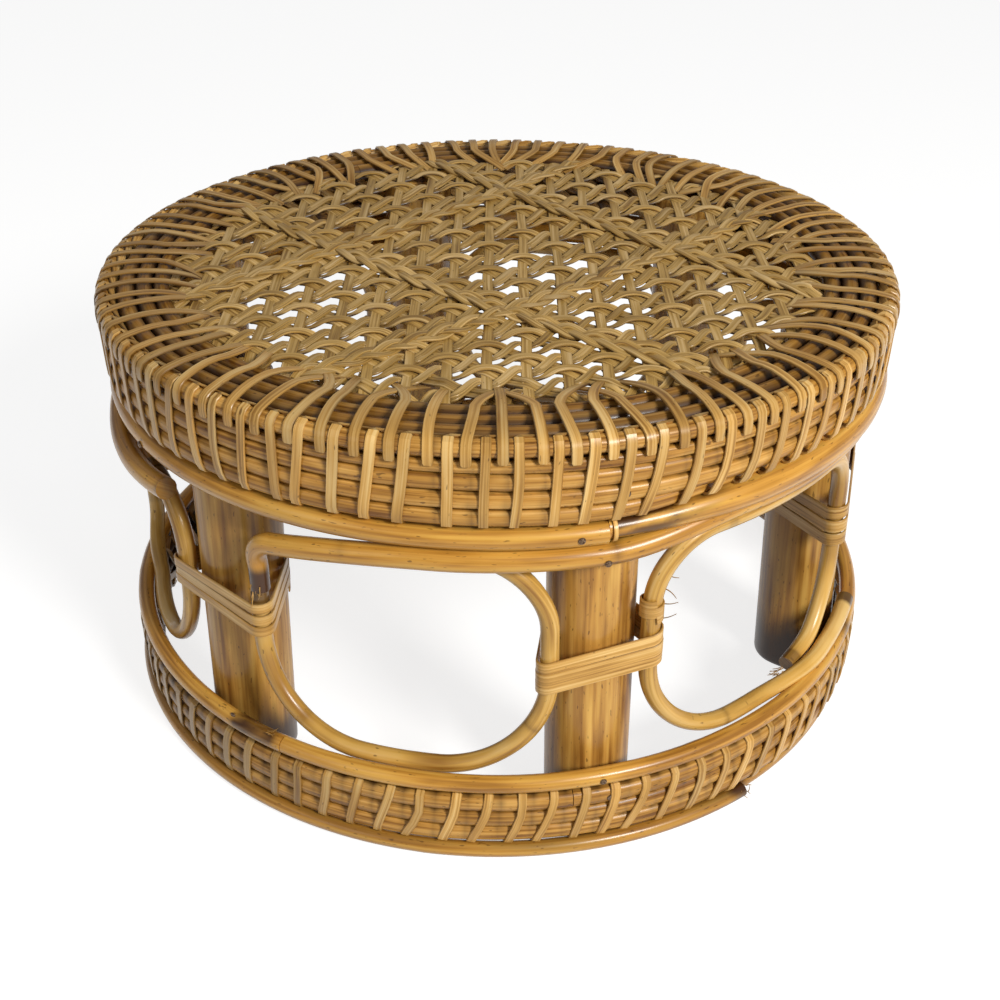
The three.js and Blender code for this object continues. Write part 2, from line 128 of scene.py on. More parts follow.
def drift(value, seed):
    """A smooth wobble between about minus one and one."""
    return noise.noise(Vector((value, seed * 3.7, seed * 1.3))) * 1.6


def smooth(value, low, high):
    """0 below a range, 1 above it, with soft ends."""
    t = min(1, max(0, (value - low) / (high - low)))
    return t * t * (3 - 2 * t)


def stretch(angle, start, full, fade, end):
    """1 along a stretch of the circle, 0 outside it, with soft ends."""
    return smooth(angle, start, full) * (1 - smooth(angle, fade, end))


def hump(value, middle, width):
    """1 at a place, fading away on both sides of it."""
    return math.exp(-((value - middle) / width) ** 2)


def front_angle(angle):
    """The angle between -180 and 180."""
    return (angle + 180) % 360 - 180


def place(radius, angle, height):
    """A point on a circle round the stool's axis."""
    a = math.radians(angle)
    return Vector((radius * math.sin(a), -radius * math.cos(a), height))


def outward(angle):
    """The direction away from the stool's axis."""
    return place(1, angle, 0)


def angle_of(length, radius):
    """The angle that a length takes up on a circle."""
    return math.degrees(length / radius)


def right_lift(angle):
    """1 where the hoops ride up on the right, 0 elsewhere."""
    return stretch(front_angle(angle), *LIFT_STRETCH)


def slack_at(angle):
    """1 where the lower hoop hangs lowest beside its nailed end, 0 elsewhere."""
    away = front_angle(angle - SLACK_ANGLE)
    if abs(away) >= SLACK_HALF:
        return 0
    return (1 + math.cos(math.pi * away / SLACK_HALF)) / 2


class Piece:
    """A mesh that grows strip by strip, with what the cane finishes read kept on its points."""

    def __init__(self):
        self.bm = bmesh.new()
        self.cane = self.bm.verts.layers.float_vector.new("cane")
        self.look = self.bm.verts.layers.float_vector.new("look")

    def take(self, part):
        """Adds a finished part and turns its faces outwards."""
        if part.bm.calc_volume(signed=True) < 0:
            bmesh.ops.reverse_faces(part.bm, faces=part.bm.faces)
        mesh = bpy.data.meshes.new("part")
        part.bm.to_mesh(mesh)
        self.bm.from_mesh(mesh)
        part.bm.free()
        bpy.data.meshes.remove(mesh)

    def finish(self, name, material, slot, *nodes, sharp=35):
        """Makes the piece an object that stands for some nodes."""
        mesh = bpy.data.meshes.new(name)
        self.bm.to_mesh(mesh)
        self.bm.free()
        mesh.shade_smooth()
        mesh.set_sharp_from_angle(angle=math.radians(sharp))
        mesh.materials.append(material)
        made = bpy.data.objects.new(name, mesh)
        bpy.context.scene.collection.objects.link(made)
        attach(made, "root")
        if nodes:
            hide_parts(*nodes)
        return made


# Sections, as corners across and up; a strip is flat below and slightly domed above
FLAT = ((-1, 0), (1, 0), (1, 0.55), (0.87, 1), (-0.87, 1), (-1, 0.55))
ROUND = tuple((math.cos(math.tau * k / ROD_SIDES), math.sin(math.tau * k / ROD_SIDES))
              for k in range(ROD_SIDES))


def grown(bm, face):
    """A new face on top of one, with walls between them."""
    made = bmesh.ops.extrude_face_region(bm, geom=[face] + list(face.edges) + list(face.verts))
    return next(g for g in made["geom"] if isinstance(g, bmesh.types.BMFace))


def drawn(section, stations, seed):
    """Extrudes a section along stations of (point, up, half width, height, stain and painted shade,
    tone).
    Height is the thickness of a strip, or half of it for a round cane."""
    part = Piece()
    face = part.bm.faces.new([part.bm.verts.new() for _ in section])
    strip = section is FLAT
    along = 0.0
    count = len(stations)
    for n, (point, up, half, high, stain_and_shade, tone) in enumerate(stations):
        if n:
            face = grown(part.bm, face)
            along += (point - stations[n - 1][0]).length
        ahead = stations[min(n + 1, count - 1)][0] - stations[max(n - 1, 0)][0]
        across = up.cross(ahead).normalized()
        rise = ahead.cross(across).normalized()
        for vert, (a, u) in zip(face.verts, section):
            vert.co = point + across * (a * half) + rise * (u * high)
            vert[part.cane] = (along, a * half + u * high * 0.7, seed)
            vert[part.look] = (tone, stain_and_shade, a if strip else 0)
    return part


def squared(value, power):
    """A share of a round section's half width, pushed outwards where the power is below 1."""
    return math.copysign(abs(value) ** power, value)


def rolled(radius_at, place_at, height_at, joint, seed, tone, stain_and_shade_at,
           steps=RING_STEPS, power=1.0):
    """A round cane bent into a ring by a spin, with its butt joint at an angle."""
    part = Piece()
    bm = part.bm
    bmesh.ops.create_circle(bm, cap_ends=True, radius=1, segments=ROD_SIDES)
    bmesh.ops.rotate(bm, verts=bm.verts, cent=(0, 0, 0), matrix=Matrix.Rotation(math.pi / 2, 3, "X"))
    bmesh.ops.translate(bm, verts=bm.verts, vec=(SPIN_RADIUS, 0, 0))
    everything = bm.faces[:] + bm.edges[:] + bm.verts[:]
    bmesh.ops.spin(bm, geom=everything, cent=(0, 0, 0), axis=(0, 0, 1),
                   angle=math.radians(360 - JOINT_GAP), steps=steps, use_merge=False)
    kept = {}
    for vert in bm.verts:
        turned = math.degrees(math.atan2(vert.co.y, vert.co.x)) % 360
        if turned > 360 - JOINT_GAP / 4:
            turned = 0
        angle = joint + JOINT_GAP / 2 + turned
        key = round(turned, 3)
        if key not in kept:
            kept[key] = radius_at(angle), place_at(angle), height_at(angle), tone_shift(angle, seed)
        radius, middle, height, shift = kept[key]
        reach = math.hypot(vert.co.x, vert.co.y) - SPIN_RADIUS
        level = vert.co.z
        vert.co = place(middle + squared(reach, power) * radius, angle,
                        height + squared(level, power) * radius)
        around = math.atan2(level, reach)
        vert[part.cane] = (math.radians(turned) * middle, around * radius, seed)
        vert[part.look] = (tone + shift, stain_and_shade_at(angle, reach, level), 0)
    return part


def tone_shift(angle, seed):
    """Light and dark stretches along a cane."""
    return 0.14 * drift(angle / 17, seed + 31)


# Finishes

def node(tree, kind, x, y, **values):
    """A new shader node at a place in the editor, with some of its settings."""
    made = tree.nodes.new(kind)
    made.location = (x, y)
    for key, value in values.items():
        setattr(made, key, value)
    return made


def linear(code):
    """A colour written as six hex digits, as the shaders want it."""
    def one(part):
        c = int(part, 16) / 255
        return c / 12.92 if c <= 0.04045 else ((c + 0.055) / 1.055) ** 2.4
    return (one(code[0:2]), one(code[2:4]), one(code[4:6]), 1)


def cane_finish(name, pale, middle, deep, stain_and_shade, gloss, coat, streaks=1.0, fleck=0.62, relief=0.35):
    """Lacquered cane: lengthwise streaks, mottling, dark flecks, real brown stains, and painted shade in
    its crevices and at strip edges.
    """
    made = bpy.data.materials.new(name)
    made.use_nodes = True
    tree = made.node_tree
    tree.nodes.clear()
    link = tree.links.new
    out = node(tree, "ShaderNodeOutputMaterial", 1300, 0)
    shader = node(tree, "ShaderNodeBsdfPrincipled", 1000, 0)
    shader.inputs["Roughness"].default_value = gloss
    shader.inputs["Coat Weight"].default_value = coat
    shader.inputs["Coat Roughness"].default_value = 0.2
    shader.inputs["Specular IOR Level"].default_value = 0.3
    link(shader.outputs[0], out.inputs[0])
    cane = node(tree, "ShaderNodeAttribute", -1400, 0, attribute_name="cane")
    look = node(tree, "ShaderNodeAttribute", -1400, -400, attribute_name="look")
    parts = node(tree, "ShaderNodeSeparateXYZ", -1200, -400)
    link(look.outputs["Vector"], parts.inputs[0])

    def pattern(along, across, seed, detail, y):
        scaled = node(tree, "ShaderNodeVectorMath", -1150, y, operation="MULTIPLY")
        scaled.inputs[1].default_value = (along, across, seed)
        link(cane.outputs["Vector"], scaled.inputs[0])
        made_noise = node(tree, "ShaderNodeTexNoise", -950, y)
        made_noise.inputs["Scale"].default_value = 1
        made_noise.inputs["Detail"].default_value = detail
        link(scaled.outputs[0], made_noise.inputs["Vector"])
        return made_noise.outputs["Fac"]

    fine = pattern(14, 1100 * streaks, 13.7, 3, 300)
    broad = pattern(26, 170, 7.3, 2, 50)
    flecks = pattern(260, 900, 3.1, 1, -200)

    ramp = node(tree, "ShaderNodeValToRGB", -700, 300)
    ramp.color_ramp.elements[0].position = 0.36
    ramp.color_ramp.elements[0].color = linear(deep)
    ramp.color_ramp.elements[1].position = 0.63
    ramp.color_ramp.elements[1].color = linear(pale)
    ramp.color_ramp.elements.new(0.5).color = linear(middle)
    blend = node(tree, "ShaderNodeMath", -850, 180, operation="MULTIPLY_ADD")
    blend.inputs[1].default_value = 0.55
    half = node(tree, "ShaderNodeMath", -900, 40, operation="MULTIPLY")
    half.inputs[1].default_value = 0.45
    link(broad, half.inputs[0])
    link(fine, blend.inputs[0])
    link(half.outputs[0], blend.inputs[2])
    link(blend.outputs[0], ramp.inputs[0])

    fleck_range = node(tree, "ShaderNodeMapRange", -700, -200)
    fleck_range.inputs["From Min"].default_value = fleck
    fleck_range.inputs["From Max"].default_value = fleck + 0.06
    link(flecks, fleck_range.inputs["Value"])
    flecked = node(tree, "ShaderNodeMix", -400, 200, data_type="RGBA")
    flecked.inputs["B"].default_value = linear(stain_and_shade)
    soft = node(tree, "ShaderNodeMath", -550, -200, operation="MULTIPLY")
    soft.inputs[1].default_value = 0.6
    link(fleck_range.outputs[0], soft.inputs[0])
    link(soft.outputs[0], flecked.inputs["Factor"])
    link(ramp.outputs[0], flecked.inputs["A"])

    toned = node(tree, "ShaderNodeHueSaturation", -150, 200)
    toned_value = node(tree, "ShaderNodeMapRange", -400, -50)
    toned_value.inputs["To Min"].default_value = 0.6
    toned_value.inputs["To Max"].default_value = 1.4
    link(parts.outputs[0], toned_value.inputs["Value"])
    link(toned_value.outputs[0], toned.inputs["Value"])
    link(flecked.outputs["Result"], toned.inputs["Color"])

    # Painted shade: flat strips darken towards their edges
    rim = node(tree, "ShaderNodeMath", -400, -500, operation="ABSOLUTE")
    link(parts.outputs[2], rim.inputs[0])
    painted_edge_shade = node(tree, "ShaderNodeMapRange", -250, -500)
    painted_edge_shade.inputs["From Min"].default_value = 0.72
    painted_edge_shade.inputs["To Max"].default_value = 0.42
    link(rim.outputs[0], painted_edge_shade.inputs["Value"])
    summed = node(tree, "ShaderNodeMath", -150, -420, operation="ADD")
    link(painted_edge_shade.outputs[0], summed.inputs[0])
    link(parts.outputs[1], summed.inputs[1])

    # Brown mixed in from the points' real stains and painted shade, and from the painted shade at strip
    # edges
    stained_and_shaded = node(tree, "ShaderNodeMix", 150, 200, data_type="RGBA")
    stained_and_shaded.inputs["B"].default_value = linear(stain_and_shade)
    edge = node(tree, "ShaderNodeMath", -50, -300, operation="MULTIPLY_ADD")
    edge.inputs[1].default_value = 0.7
    link(broad, edge.inputs[0])
    link(summed.outputs[0], edge.inputs[2])
    stain_and_shade_range = node(tree, "ShaderNodeMapRange", 50, -300, interpolation_type="SMOOTHSTEP")
    stain_and_shade_range.inputs["From Min"].default_value = 0.5
    stain_and_shade_range.inputs["From Max"].default_value = 1.3
    link(edge.outputs[0], stain_and_shade_range.inputs["Value"])
    link(stain_and_shade_range.outputs[0], stained_and_shaded.inputs["Factor"])
    link(toned.outputs[0], stained_and_shaded.inputs["A"])
    link(stained_and_shaded.outputs["Result"], shader.inputs["Base Color"])

    bump = node(tree, "ShaderNodeBump", 700, -300)
    bump.inputs["Strength"].default_value = relief
    bump.inputs["Distance"].default_value = 0.25 * MM
    link(blend.outputs[0], bump.inputs["Height"])
    link(bump.outputs[0], shader.inputs["Normal"])
    return made


weave_cane = cane_finish("weave cane", "D8B67C", "B8934F", "84602A", "3A240D", 0.42, 0.12, fleck=0.74)
binding_cane = cane_finish("binding cane", "E3BE7C", "CB9C52", "96692A", "42270D", 0.38, 0.2, fleck=0.72)
rod_cane = cane_finish("rod cane", "DDAB5C", "B98539", "75480F", "361D08", 0.42, 0.2, streaks=0.8,
                       relief=0.7, fleck=0.68)
hoop_cane = cane_finish("hoop cane", "DDA94C", "C68E38", "976521", "44260A", 0.34, 0.35, streaks=0.5,
                        fleck=0.68)
loop_cane = cane_finish("loop cane", "E2BC74", "CD9F4C", "96692A", "44260A", 0.34, 0.35, streaks=0.5,
                        fleck=0.7)
pole_cane = cane_finish("pole cane", "D6A855", "B9873D", "845720", "3A210C", 0.36, 0.3, streaks=0.35,
                        fleck=0.68)


def nail_finish():
    """Dull iron with rusty spots."""
    made = bpy.data.materials.new("nail metal")
    made.use_nodes = True
    tree = made.node_tree
    shader = tree.nodes["Principled BSDF"]
    shader.inputs["Metallic"].default_value = 0.7
    shader.inputs["Roughness"].default_value = 0.45
    where = node(tree, "ShaderNodeTexCoord", -800, 0)
    spots = node(tree, "ShaderNodeTexNoise", -600, 0)
    spots.inputs["Scale"].default_value = 1800
    ramp = node(tree, "ShaderNodeValToRGB", -350, 0)
    ramp.color_ramp.elements[0].position = 0.4
    ramp.color_ramp.elements[0].color = linear("4A3322")
    ramp.color_ramp.elements[1].position = 0.65
    ramp.color_ramp.elements[1].color = linear("86705A")
    tree.links.new(where.outputs["Object"], spots.inputs["Vector"])
    tree.links.new(spots.outputs["Fac"], ramp.inputs[0])
    tree.links.new(ramp.outputs[0], shader.inputs["Base Color"])
    return made


nail_metal = nail_finish()


# Rods of the rim and base

def ring_sizes(name, flat_up=False):
    """Place, height and radius of a ring of round cane, read from the frame."""
    low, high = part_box(name)
    half = (high[2] - low[2]) / 2
    radius = half / FLAT_SHARE if flat_up else half
    reach = radius if flat_up else radius * FLAT_SHARE
    return high[0] - reach, (high[2] + low[2]) / 2, radius


KNOT_ANGLES = (40, 150, 260)
KNOT_SHIFT = 37
KNOT_WIDTH = 1.1
KNOT_SWELL = 0.035


def ring(name, joint, seed, tone, dark, finish, slot, flat_up=False, wobble=0.25, grow=1.03,
         shift=0.0, steps=RING_STEPS, power=1.0, bend=None):
    """A ring of round cane; dark says where it is darker, with painted shade where it meets its
    neighbours and some real stains, and bend gives a change of its place and height and a share of its
    radius at an angle."""
    middle, height, radius = ring_sizes(name, flat_up)

    def changed(angle):
        return bend(angle) if bend else (0, 0, 1)

    def radius_at(angle):
        knots = sum(hump(front_angle(angle + seed * KNOT_SHIFT - at), 0, KNOT_WIDTH)
                    for at in KNOT_ANGLES)
        size = grow + 0.02 * drift(angle / 24, seed) + KNOT_SWELL * knots
        return radius * size * changed(angle)[2]

    piece = Piece()
    piece.take(rolled(
        radius_at,
        lambda angle: middle + shift + changed(angle)[0] + wobble * MM * drift(angle / 30, seed + 5),
        lambda angle: height + changed(angle)[1] + wobble * MM * drift(angle / 22, seed + 9),
        joint, seed, tone, dark, steps, power))
    piece.finish(name.replace("_rod", "_cane").replace("_hoop", "_hoop_cane"), finish, slot, name)


# How brown a cane is painted, with real stains and with painted shade in grooves, beside strips,
# underneath and inside, from its angle and from how far its surface faces outwards (reach) and up
# (level), each between -1 and 1

# Painted shadow and some grime beside the strips: its width and its shift to their left, in turns
STRIP_SHADOW_WIDTH = 0.16
STRIP_SHADOW_SIDE = -0.2


def strip_shadow_and_grime(angle, offset):
    """Painted shadow with some grime beside the strips of a binding, the shadow more on their left."""
    away = ((angle - offset) / TURN_ANGLE) % 1 - 0.5
    return hump(away, STRIP_SHADOW_SIDE, STRIP_SHADOW_WIDTH)


def dark_side_rod(angle, reach, level, offset=0):
    """Painted shade in the grooves between rods and inside, and painted shadow with some grime beside the
    strips.
    """
    return 0.1 + 0.5 * level ** 8 + 0.35 * strip_shadow_and_grime(angle, offset) + (0.4 if reach < 0 else 0)


def dark_base_rod(angle, reach, level):
    """As on a side rod, and browner round the left."""
    left = 0.25 * smooth(-front_angle(angle), 25, 60)
    return dark_side_rod(angle, reach, level, -1) + left


def dark_rim_rod(angle, reach, level):
    """Painted shade in the grooves beside it and underneath, over an even brown."""
    return 0.42 + 0.5 * reach ** 2 + (0.4 if level < 0 else 0)


def dark_corner_rod(angle, reach, level):
    """Painted shadow with some grime beside the strips, and painted shade underneath and inside."""
    return 0.12 + 0.3 * strip_shadow_and_grime(angle, 0) + (0.5 if level < -0.6 or reach < -0.6 else 0)


TUCK_IN = 3.4 * MM
TUCK_UP = 1.6 * MM
TUCK_THIN = 0.25


def tucked(angle):
    """The lowest side rod is squeezed in behind the upper hoop on the right."""
    lift = right_lift(angle)
    return -TUCK_IN * lift, TUCK_UP * lift, 1 - TUCK_THIN * lift


RODS = dict(finish=rod_cane, slot="rod_cane")
SIDE_POWER = 0.74
BASE_POWER = 0.76
ring("corner_rod", 100, 1, 0.5, dark_corner_rod, shift=-0.4 * MM, steps=WRAPPED_STEPS, **RODS)
for n in (1, 2, 3):
    ring(f"rim_rod_{n}", 60 + 50 * n, 1 + n, 0.36, dark_rim_rod, flat_up=True, shift=-0.2 * MM, **RODS)
for n in (1, 2, 3, 4):
    ring(f"side_rod_{n}", -27 + 75 * n, 5 + n, 0.5, dark_side_rod, shift=-0.5 * MM, grow=1.04,
         steps=WRAPPED_STEPS, power=SIDE_POWER, bend=tucked if n == 4 else None, **RODS)
for n in (1, 2, 3):
    ring(f"base_rod_{n}", -60 + 70 * n, 11 + n, 0.47, dark_base_rod, shift=-0.5 * MM, grow=1.04,
         steps=WRAPPED_STEPS, power=BASE_POWER, **RODS)

BASE_JOINT = -30.5
BASE_SPLIT = 66
FOOT_JOINT = 37
FOOT_INWARDS = 4.2 * MM
FOOT_RISE = 0.55 * MM


def dark_base_hoop(angle, reach, level):
    """Worn black beside the joint, with a brown split on the right, and painted shade underneath."""
    away = front_angle(angle - BASE_JOINT)
    worn = stretch(away, -9.5, -8, -0.8, 0.2) * (0.95 if level > -0.2 else 0.4)
    worn *= 0.6 + 0.8 * abs(noise.noise(Vector((angle * 2.1, level * 3, 2.2))))
    split = hump(front_angle(angle - BASE_SPLIT), 0, 2.5) * 0.6
    return 0.08 + worn + split + (0.5 if level < -0.7 else 0)


def dark_foot_hoop(angle, reach, level):
    """Painted shade above and below, and darkest at its joint."""
    away = front_angle(angle - FOOT_JOINT)
    return 0.2 + 0.3 * abs(level) + 0.6 * hump(away, -0.6, 1.6)


def foot_bend(angle):
    """One end of the foot hoop lies inside the other."""
    inwards = stretch(front_angle(angle), FOOT_JOINT - 0.05, FOOT_JOINT + 0.05, 80, 110)
    return -FOOT_INWARDS * inwards, FOOT_RISE, 1 - 0.04 * inwards


HOOPS = dict(finish=hoop_cane, slot="hoop_cane")
ring("base_hoop", BASE_JOINT, 16, 0.52, dark_base_hoop, grow=1.0, **HOOPS)
ring("foot_hoop", FOOT_JOINT, 17, 0.42, dark_foot_hoop, flat_up=True, wobble=0.1, grow=0.99,
     bend=foot_bend, **HOOPS)


# Hoops under the rim

TORN_SOLID = 2
TORN_LENGTH = 21
TORN_SINK = 0.9 * MM
TORN_RISE = 1.0 * MM
TORN_THIN = 0.1
BAND_SWELL = 0.36
BAND_RISE = 2.9 * MM
BAND_INWARDS = 0.9 * MM


def torn(angle):
    """1 at the torn end of the upper hoop, fading along it."""
    away = front_angle(angle - UPPER_JOINT)
    return 1 - smooth(away, TORN_SOLID, TORN_LENGTH) if away > 0 else 0


def torn_fibres(angle, around):
    """Streaks along the torn end."""
    if front_angle(angle - UPPER_JOINT) <= JOINT_GAP:
        return 0
    streak = abs(noise.noise(Vector((angle * 0.22, around * 3.1, 7.7))))
    return torn(angle) * min(1, 0.25 + 2.4 * streak)


def dark_upper_hoop(angle, reach, level):
    """Brown streaks at the torn end, and painted shade above and below."""
    torn_share = torn_fibres(angle, math.atan2(level, reach))
    return 0.06 + 0.74 * torn_share + (0.35 if abs(level) > 0.85 else 0)


def upper_hoop():
    """One hoop whose ends meet at the front; on the right it swells to a wide band."""
    def radius_at(angle):
        return HOOP_RADIUS * (1 + BAND_SWELL * right_lift(angle) + 0.02 * drift(angle / 30, 21)
                              - TORN_THIN * torn(angle))

    def place_at(angle):
        return (HOOP_PLACE - BAND_INWARDS * right_lift(angle) - TORN_SINK * torn(angle)
                + 0.3 * MM * drift(angle / 35, 21))

    def height_at(angle):
        return (UPPER_HEIGHT + BAND_RISE * right_lift(angle) + TORN_RISE * torn(angle)
                + 0.3 * MM * drift(angle / 28, 23))

    piece = Piece()
    piece.take(rolled(radius_at, place_at, height_at, UPPER_JOINT, 21, 0.52, dark_upper_hoop,
                      steps=5 * RING_STEPS // 2))
    piece.finish("upper_hoop_cane", hoop_cane, "hoop_cane", "upper_hoop")


upper_hoop()


def loop_place(height):
    """How far out a loop stands at a height."""
    share = (height - LOOP_BOTTOM) / (LOOP_TOP - LOOP_BOTTOM)
    return LOOP_BOTTOM_PLACE + (LOOP_TOP_PLACE - LOOP_BOTTOM_PLACE) * share


loops = []
for n, angle in enumerate(POLE_ANGLES):
    spacing = (POLE_ANGLES[(n + 1) % len(POLE_ANGLES)] - angle) % 360
    loops.append((angle + spacing / 2 + LOOP_LEANS[n], spacing * LOOP_SPAN_SHARES[n] / 2))


def rounded_frame(width, height, low, high, share):
    """A point on a rounded rectangle, counted from the middle of its bottom to the right."""
    w, h = width / 2, height / 2
    low, high = min(low, h), min(high, h)
    right_angle = math.pi / 2
    side = height - low - high
    runs = ((w - low, (0, -h), (1, 0)), (right_angle * low, (w - low, low - h), -90),
            (side, (w, low - h), (0, 1)), (right_angle * high, (w - high, h - high), 0),
            (2 * (w - high), (w - high, h), (-1, 0)), (right_angle * high, (high - w, h - high), 90),
            (side, (-w, h - high), (0, -1)), (right_angle * low, (low - w, low - h), 180),
            (w - low, (low - w, -h), (1, 0)))
    at = (share % 1) * sum(run[0] for run in runs)
    for length, origin, way in runs:
        if at <= length:
            if isinstance(way, tuple):
                return origin[0] + way[0] * at, origin[1] + way[1] * at
            corner = low if length == right_angle * low else high
            a = math.radians(way) + at / corner
            return origin[0] + corner * math.cos(a), origin[1] + corner * math.sin(a)
        at -= length
    return 0, -h


def loop_point(n, share):
    """Angle and height of a loop's middle line at a share of its length."""
    centre, half = loops[n]
    width = 2 * math.radians(half) * loop_place(LOOP_MIDDLE)
    tall = LOOP_TOP + LOOP_RISES[n] - LOOP_BOTTOM
    x, y = rounded_frame(width, tall, LOOP_BOTTOM_CORNER, LOOP_TOP_CORNER, share)
    return centre + angle_of(x, loop_place(LOOP_MIDDLE)), LOOP_BOTTOM + tall / 2 + y


# The lower hoop goes once round, and its other end is bent down to the first loop's left side
LIMB_SHIFT = 0.6
LIMB_GAP = 1.0 * MM
LIMB_ANGLE = loops[0][0] - loops[0][1] + LIMB_SHIFT
LIMB_END = loop_point(0, LOOP_START_SHARES[0])[1] + LIMB_GAP
LIMB_OUT = 0.6 * MM
LIMB_THIN = 0.7 * MM
BEND_START = LIMB_ANGLE + angle_of(HOOP_BEND, HOOP_PLACE)
RING_TURN = 360 - (BEND_START - LOWER_END)
RING_LENGTH = math.radians(RING_TURN) * HOOP_PLACE
BEND_LENGTH = math.pi / 2 * HOOP_BEND
LIMB_LENGTH = LOWER_HEIGHT - HOOP_SAG - HOOP_BEND - LIMB_END
LOWER_LENGTH = RING_LENGTH + BEND_LENGTH + LIMB_LENGTH
LOWER_LIFT = 7.0 * MM
LOWER_TUCK = 1.6 * MM
LOWER_KNOTS = (14.5, -20, 55, 150, -120)
LOWER_RING_STEPS = 190
LOWER_LIMB_STEPS = 26
DARK_TIP = (5 * MM, 17 * MM)


def sag_at(angle):
    """How far the lower hoop sinks towards its bent end, as a share."""
    share = (SAG_START - front_angle(angle)) / (SAG_START - BEND_START)
    return min(1, max(0, share)) ** SAG_POWER


def lower_ring_point(length):
    """The hoop's round stretch, with its slack, its rise on the right and its sag."""
    angle = LOWER_END - RING_TURN * length / RING_LENGTH
    slack, lift = slack_at(angle), right_lift(angle)
    radius = HOOP_PLACE + SLACK_OUT * slack - LOWER_TUCK * lift + 0.3 * MM * drift(angle / 35, 22)
    height = LOWER_HEIGHT - SLACK_DROP * slack + LOWER_LIFT * lift + 0.35 * MM * drift(angle / 28, 24)
    if length > RING_LENGTH / 2:
        sag = sag_at(angle)
        height -= HOOP_SAG * sag
        radius -= SAG_INWARDS * sag
    return place(radius, angle, height), angle


def limb_point(length):
    """The bend and the straight limb that goes down to the first loop."""
    turned = min((length - RING_LENGTH) / HOOP_BEND, math.pi / 2)
    straight = max(0, length - RING_LENGTH - BEND_LENGTH)
    height = LOWER_HEIGHT - HOOP_SAG - HOOP_BEND * (1 - math.cos(turned)) - straight
    angle = BEND_START - angle_of(HOOP_BEND * math.sin(turned), HOOP_PLACE)
    inwards = smooth(LOWER_HEIGHT - HOOP_SAG - height, 0, 18 * MM)
    start = HOOP_PLACE - SAG_INWARDS
    radius = start + (loop_place(height) + LIMB_OUT - start) * inwards
    return place(radius, angle, height), angle


def lower_hoop():
    """A long cane from its nailed end round to its dark, bent end."""
    lengths = [RING_LENGTH * k / LOWER_RING_STEPS for k in range(LOWER_RING_STEPS)]
    lengths += [RING_LENGTH + (LOWER_LENGTH - RING_LENGTH) * k / LOWER_LIMB_STEPS
                for k in range(LOWER_LIMB_STEPS + 1)]
    stations = []
    for length in lengths:
        point, angle = lower_ring_point(length) if length <= RING_LENGTH else limb_point(length)
        size = HOOP_RADIUS * (0.99 + 0.02 * drift(length * 20, 22))
        size -= LIMB_THIN * smooth(length, RING_LENGTH - 20 * MM, LOWER_LENGTH)
        tip = 1 - smooth(LOWER_LENGTH - length, *DARK_TIP)
        nailed_end = 1 - smooth(length, 0, 5 * MM)
        knots = sum(hump(front_angle(angle - knot), 0, 0.7) for knot in LOWER_KNOTS)
        stain_and_shade = 0.06 + 1.1 * tip + 0.5 * nailed_end + 0.5 * knots
        tone = 0.5 + 0.14 * drift(length * 16, 25)
        stations.append((point, outward(angle), size, size, stain_and_shade, tone))
    piece = Piece()
    piece.take(drawn(ROUND, stations, 22))
    piece.finish("lower_hoop_cane", hoop_cane, "hoop_cane", "lower_hoop")


lower_hoop()


# Wound bindings: one long strip that goes round and round a stack of rods

def scaled_path(rows):
    """A path whose radii and heights are written in millimetres, in metres."""
    return tuple((r * MM, h * MM, share, bend, inside) for r, h, share, bend, inside in rows)


def level_lift(angle, height):
    """No lift anywhere, for a level stack."""
    return 0


def winding(path, lean_at, first, salt, tone_at, lift_at):
    """Stations of a strip wound round a quarter of a stack. Each point of the path has a radius,
    a height, its shares of the turn's lean and bow, and how far it has gone on to the next turn."""
    stations = []
    count = len(path)
    for number in range(first, first + QUARTER):
        middle = (number + 0.5) * TURN_ANGLE
        lean, bow, shift = lean_at(middle, number)
        ahead_lean = lean_at(middle + TURN_ANGLE, number + 1)
        tone = tone_at(middle) + jitter(number, salt, 0.22)
        for n, (radius, height, share, bend, inside) in enumerate(path):
            before, after = path[n - 1], path[(n + 1) % count]
            slope = Vector((after[0] - before[0], after[1] - before[1])).normalized()
            angle = middle + shift - lean * share + bow * bend
            if inside:
                target = middle + TURN_ANGLE + ahead_lean[2]
                angle += (target - (middle + shift - lean)) * inside
            up = outward(angle) * -slope.y + Vector((0, 0, slope.x))
            level = height + lift_at(angle, height)
            wide = 1 + jitter(number, salt + 1, 0.09) + 0.05 * drift(height * 90 + number, salt)
            half = STRIP_HALF * wide
            # Painted shade on the stretch that runs inside the stack
            stain_and_shade = 0.04 + (0.35 if inside else 0)
            stations.append((place(radius, angle, level), up, half, STRIP_THICK, stain_and_shade, tone))
    return stations


def wrap(name, node_name, path, lean_at, salt, seed, tone_at, lift_at):
    """Four unbroken bindings, a quarter of the turns each."""
    for quarter in range(4):
        piece = Piece()
        stations = winding(path, lean_at, quarter * QUARTER, salt, tone_at, lift_at)
        piece.take(drawn(FLAT, stations, seed + quarter))
        piece.finish(f"{name}_{quarter + 1}", binding_cane, "binding_cane", f"{node_name}_{quarter + 1}")


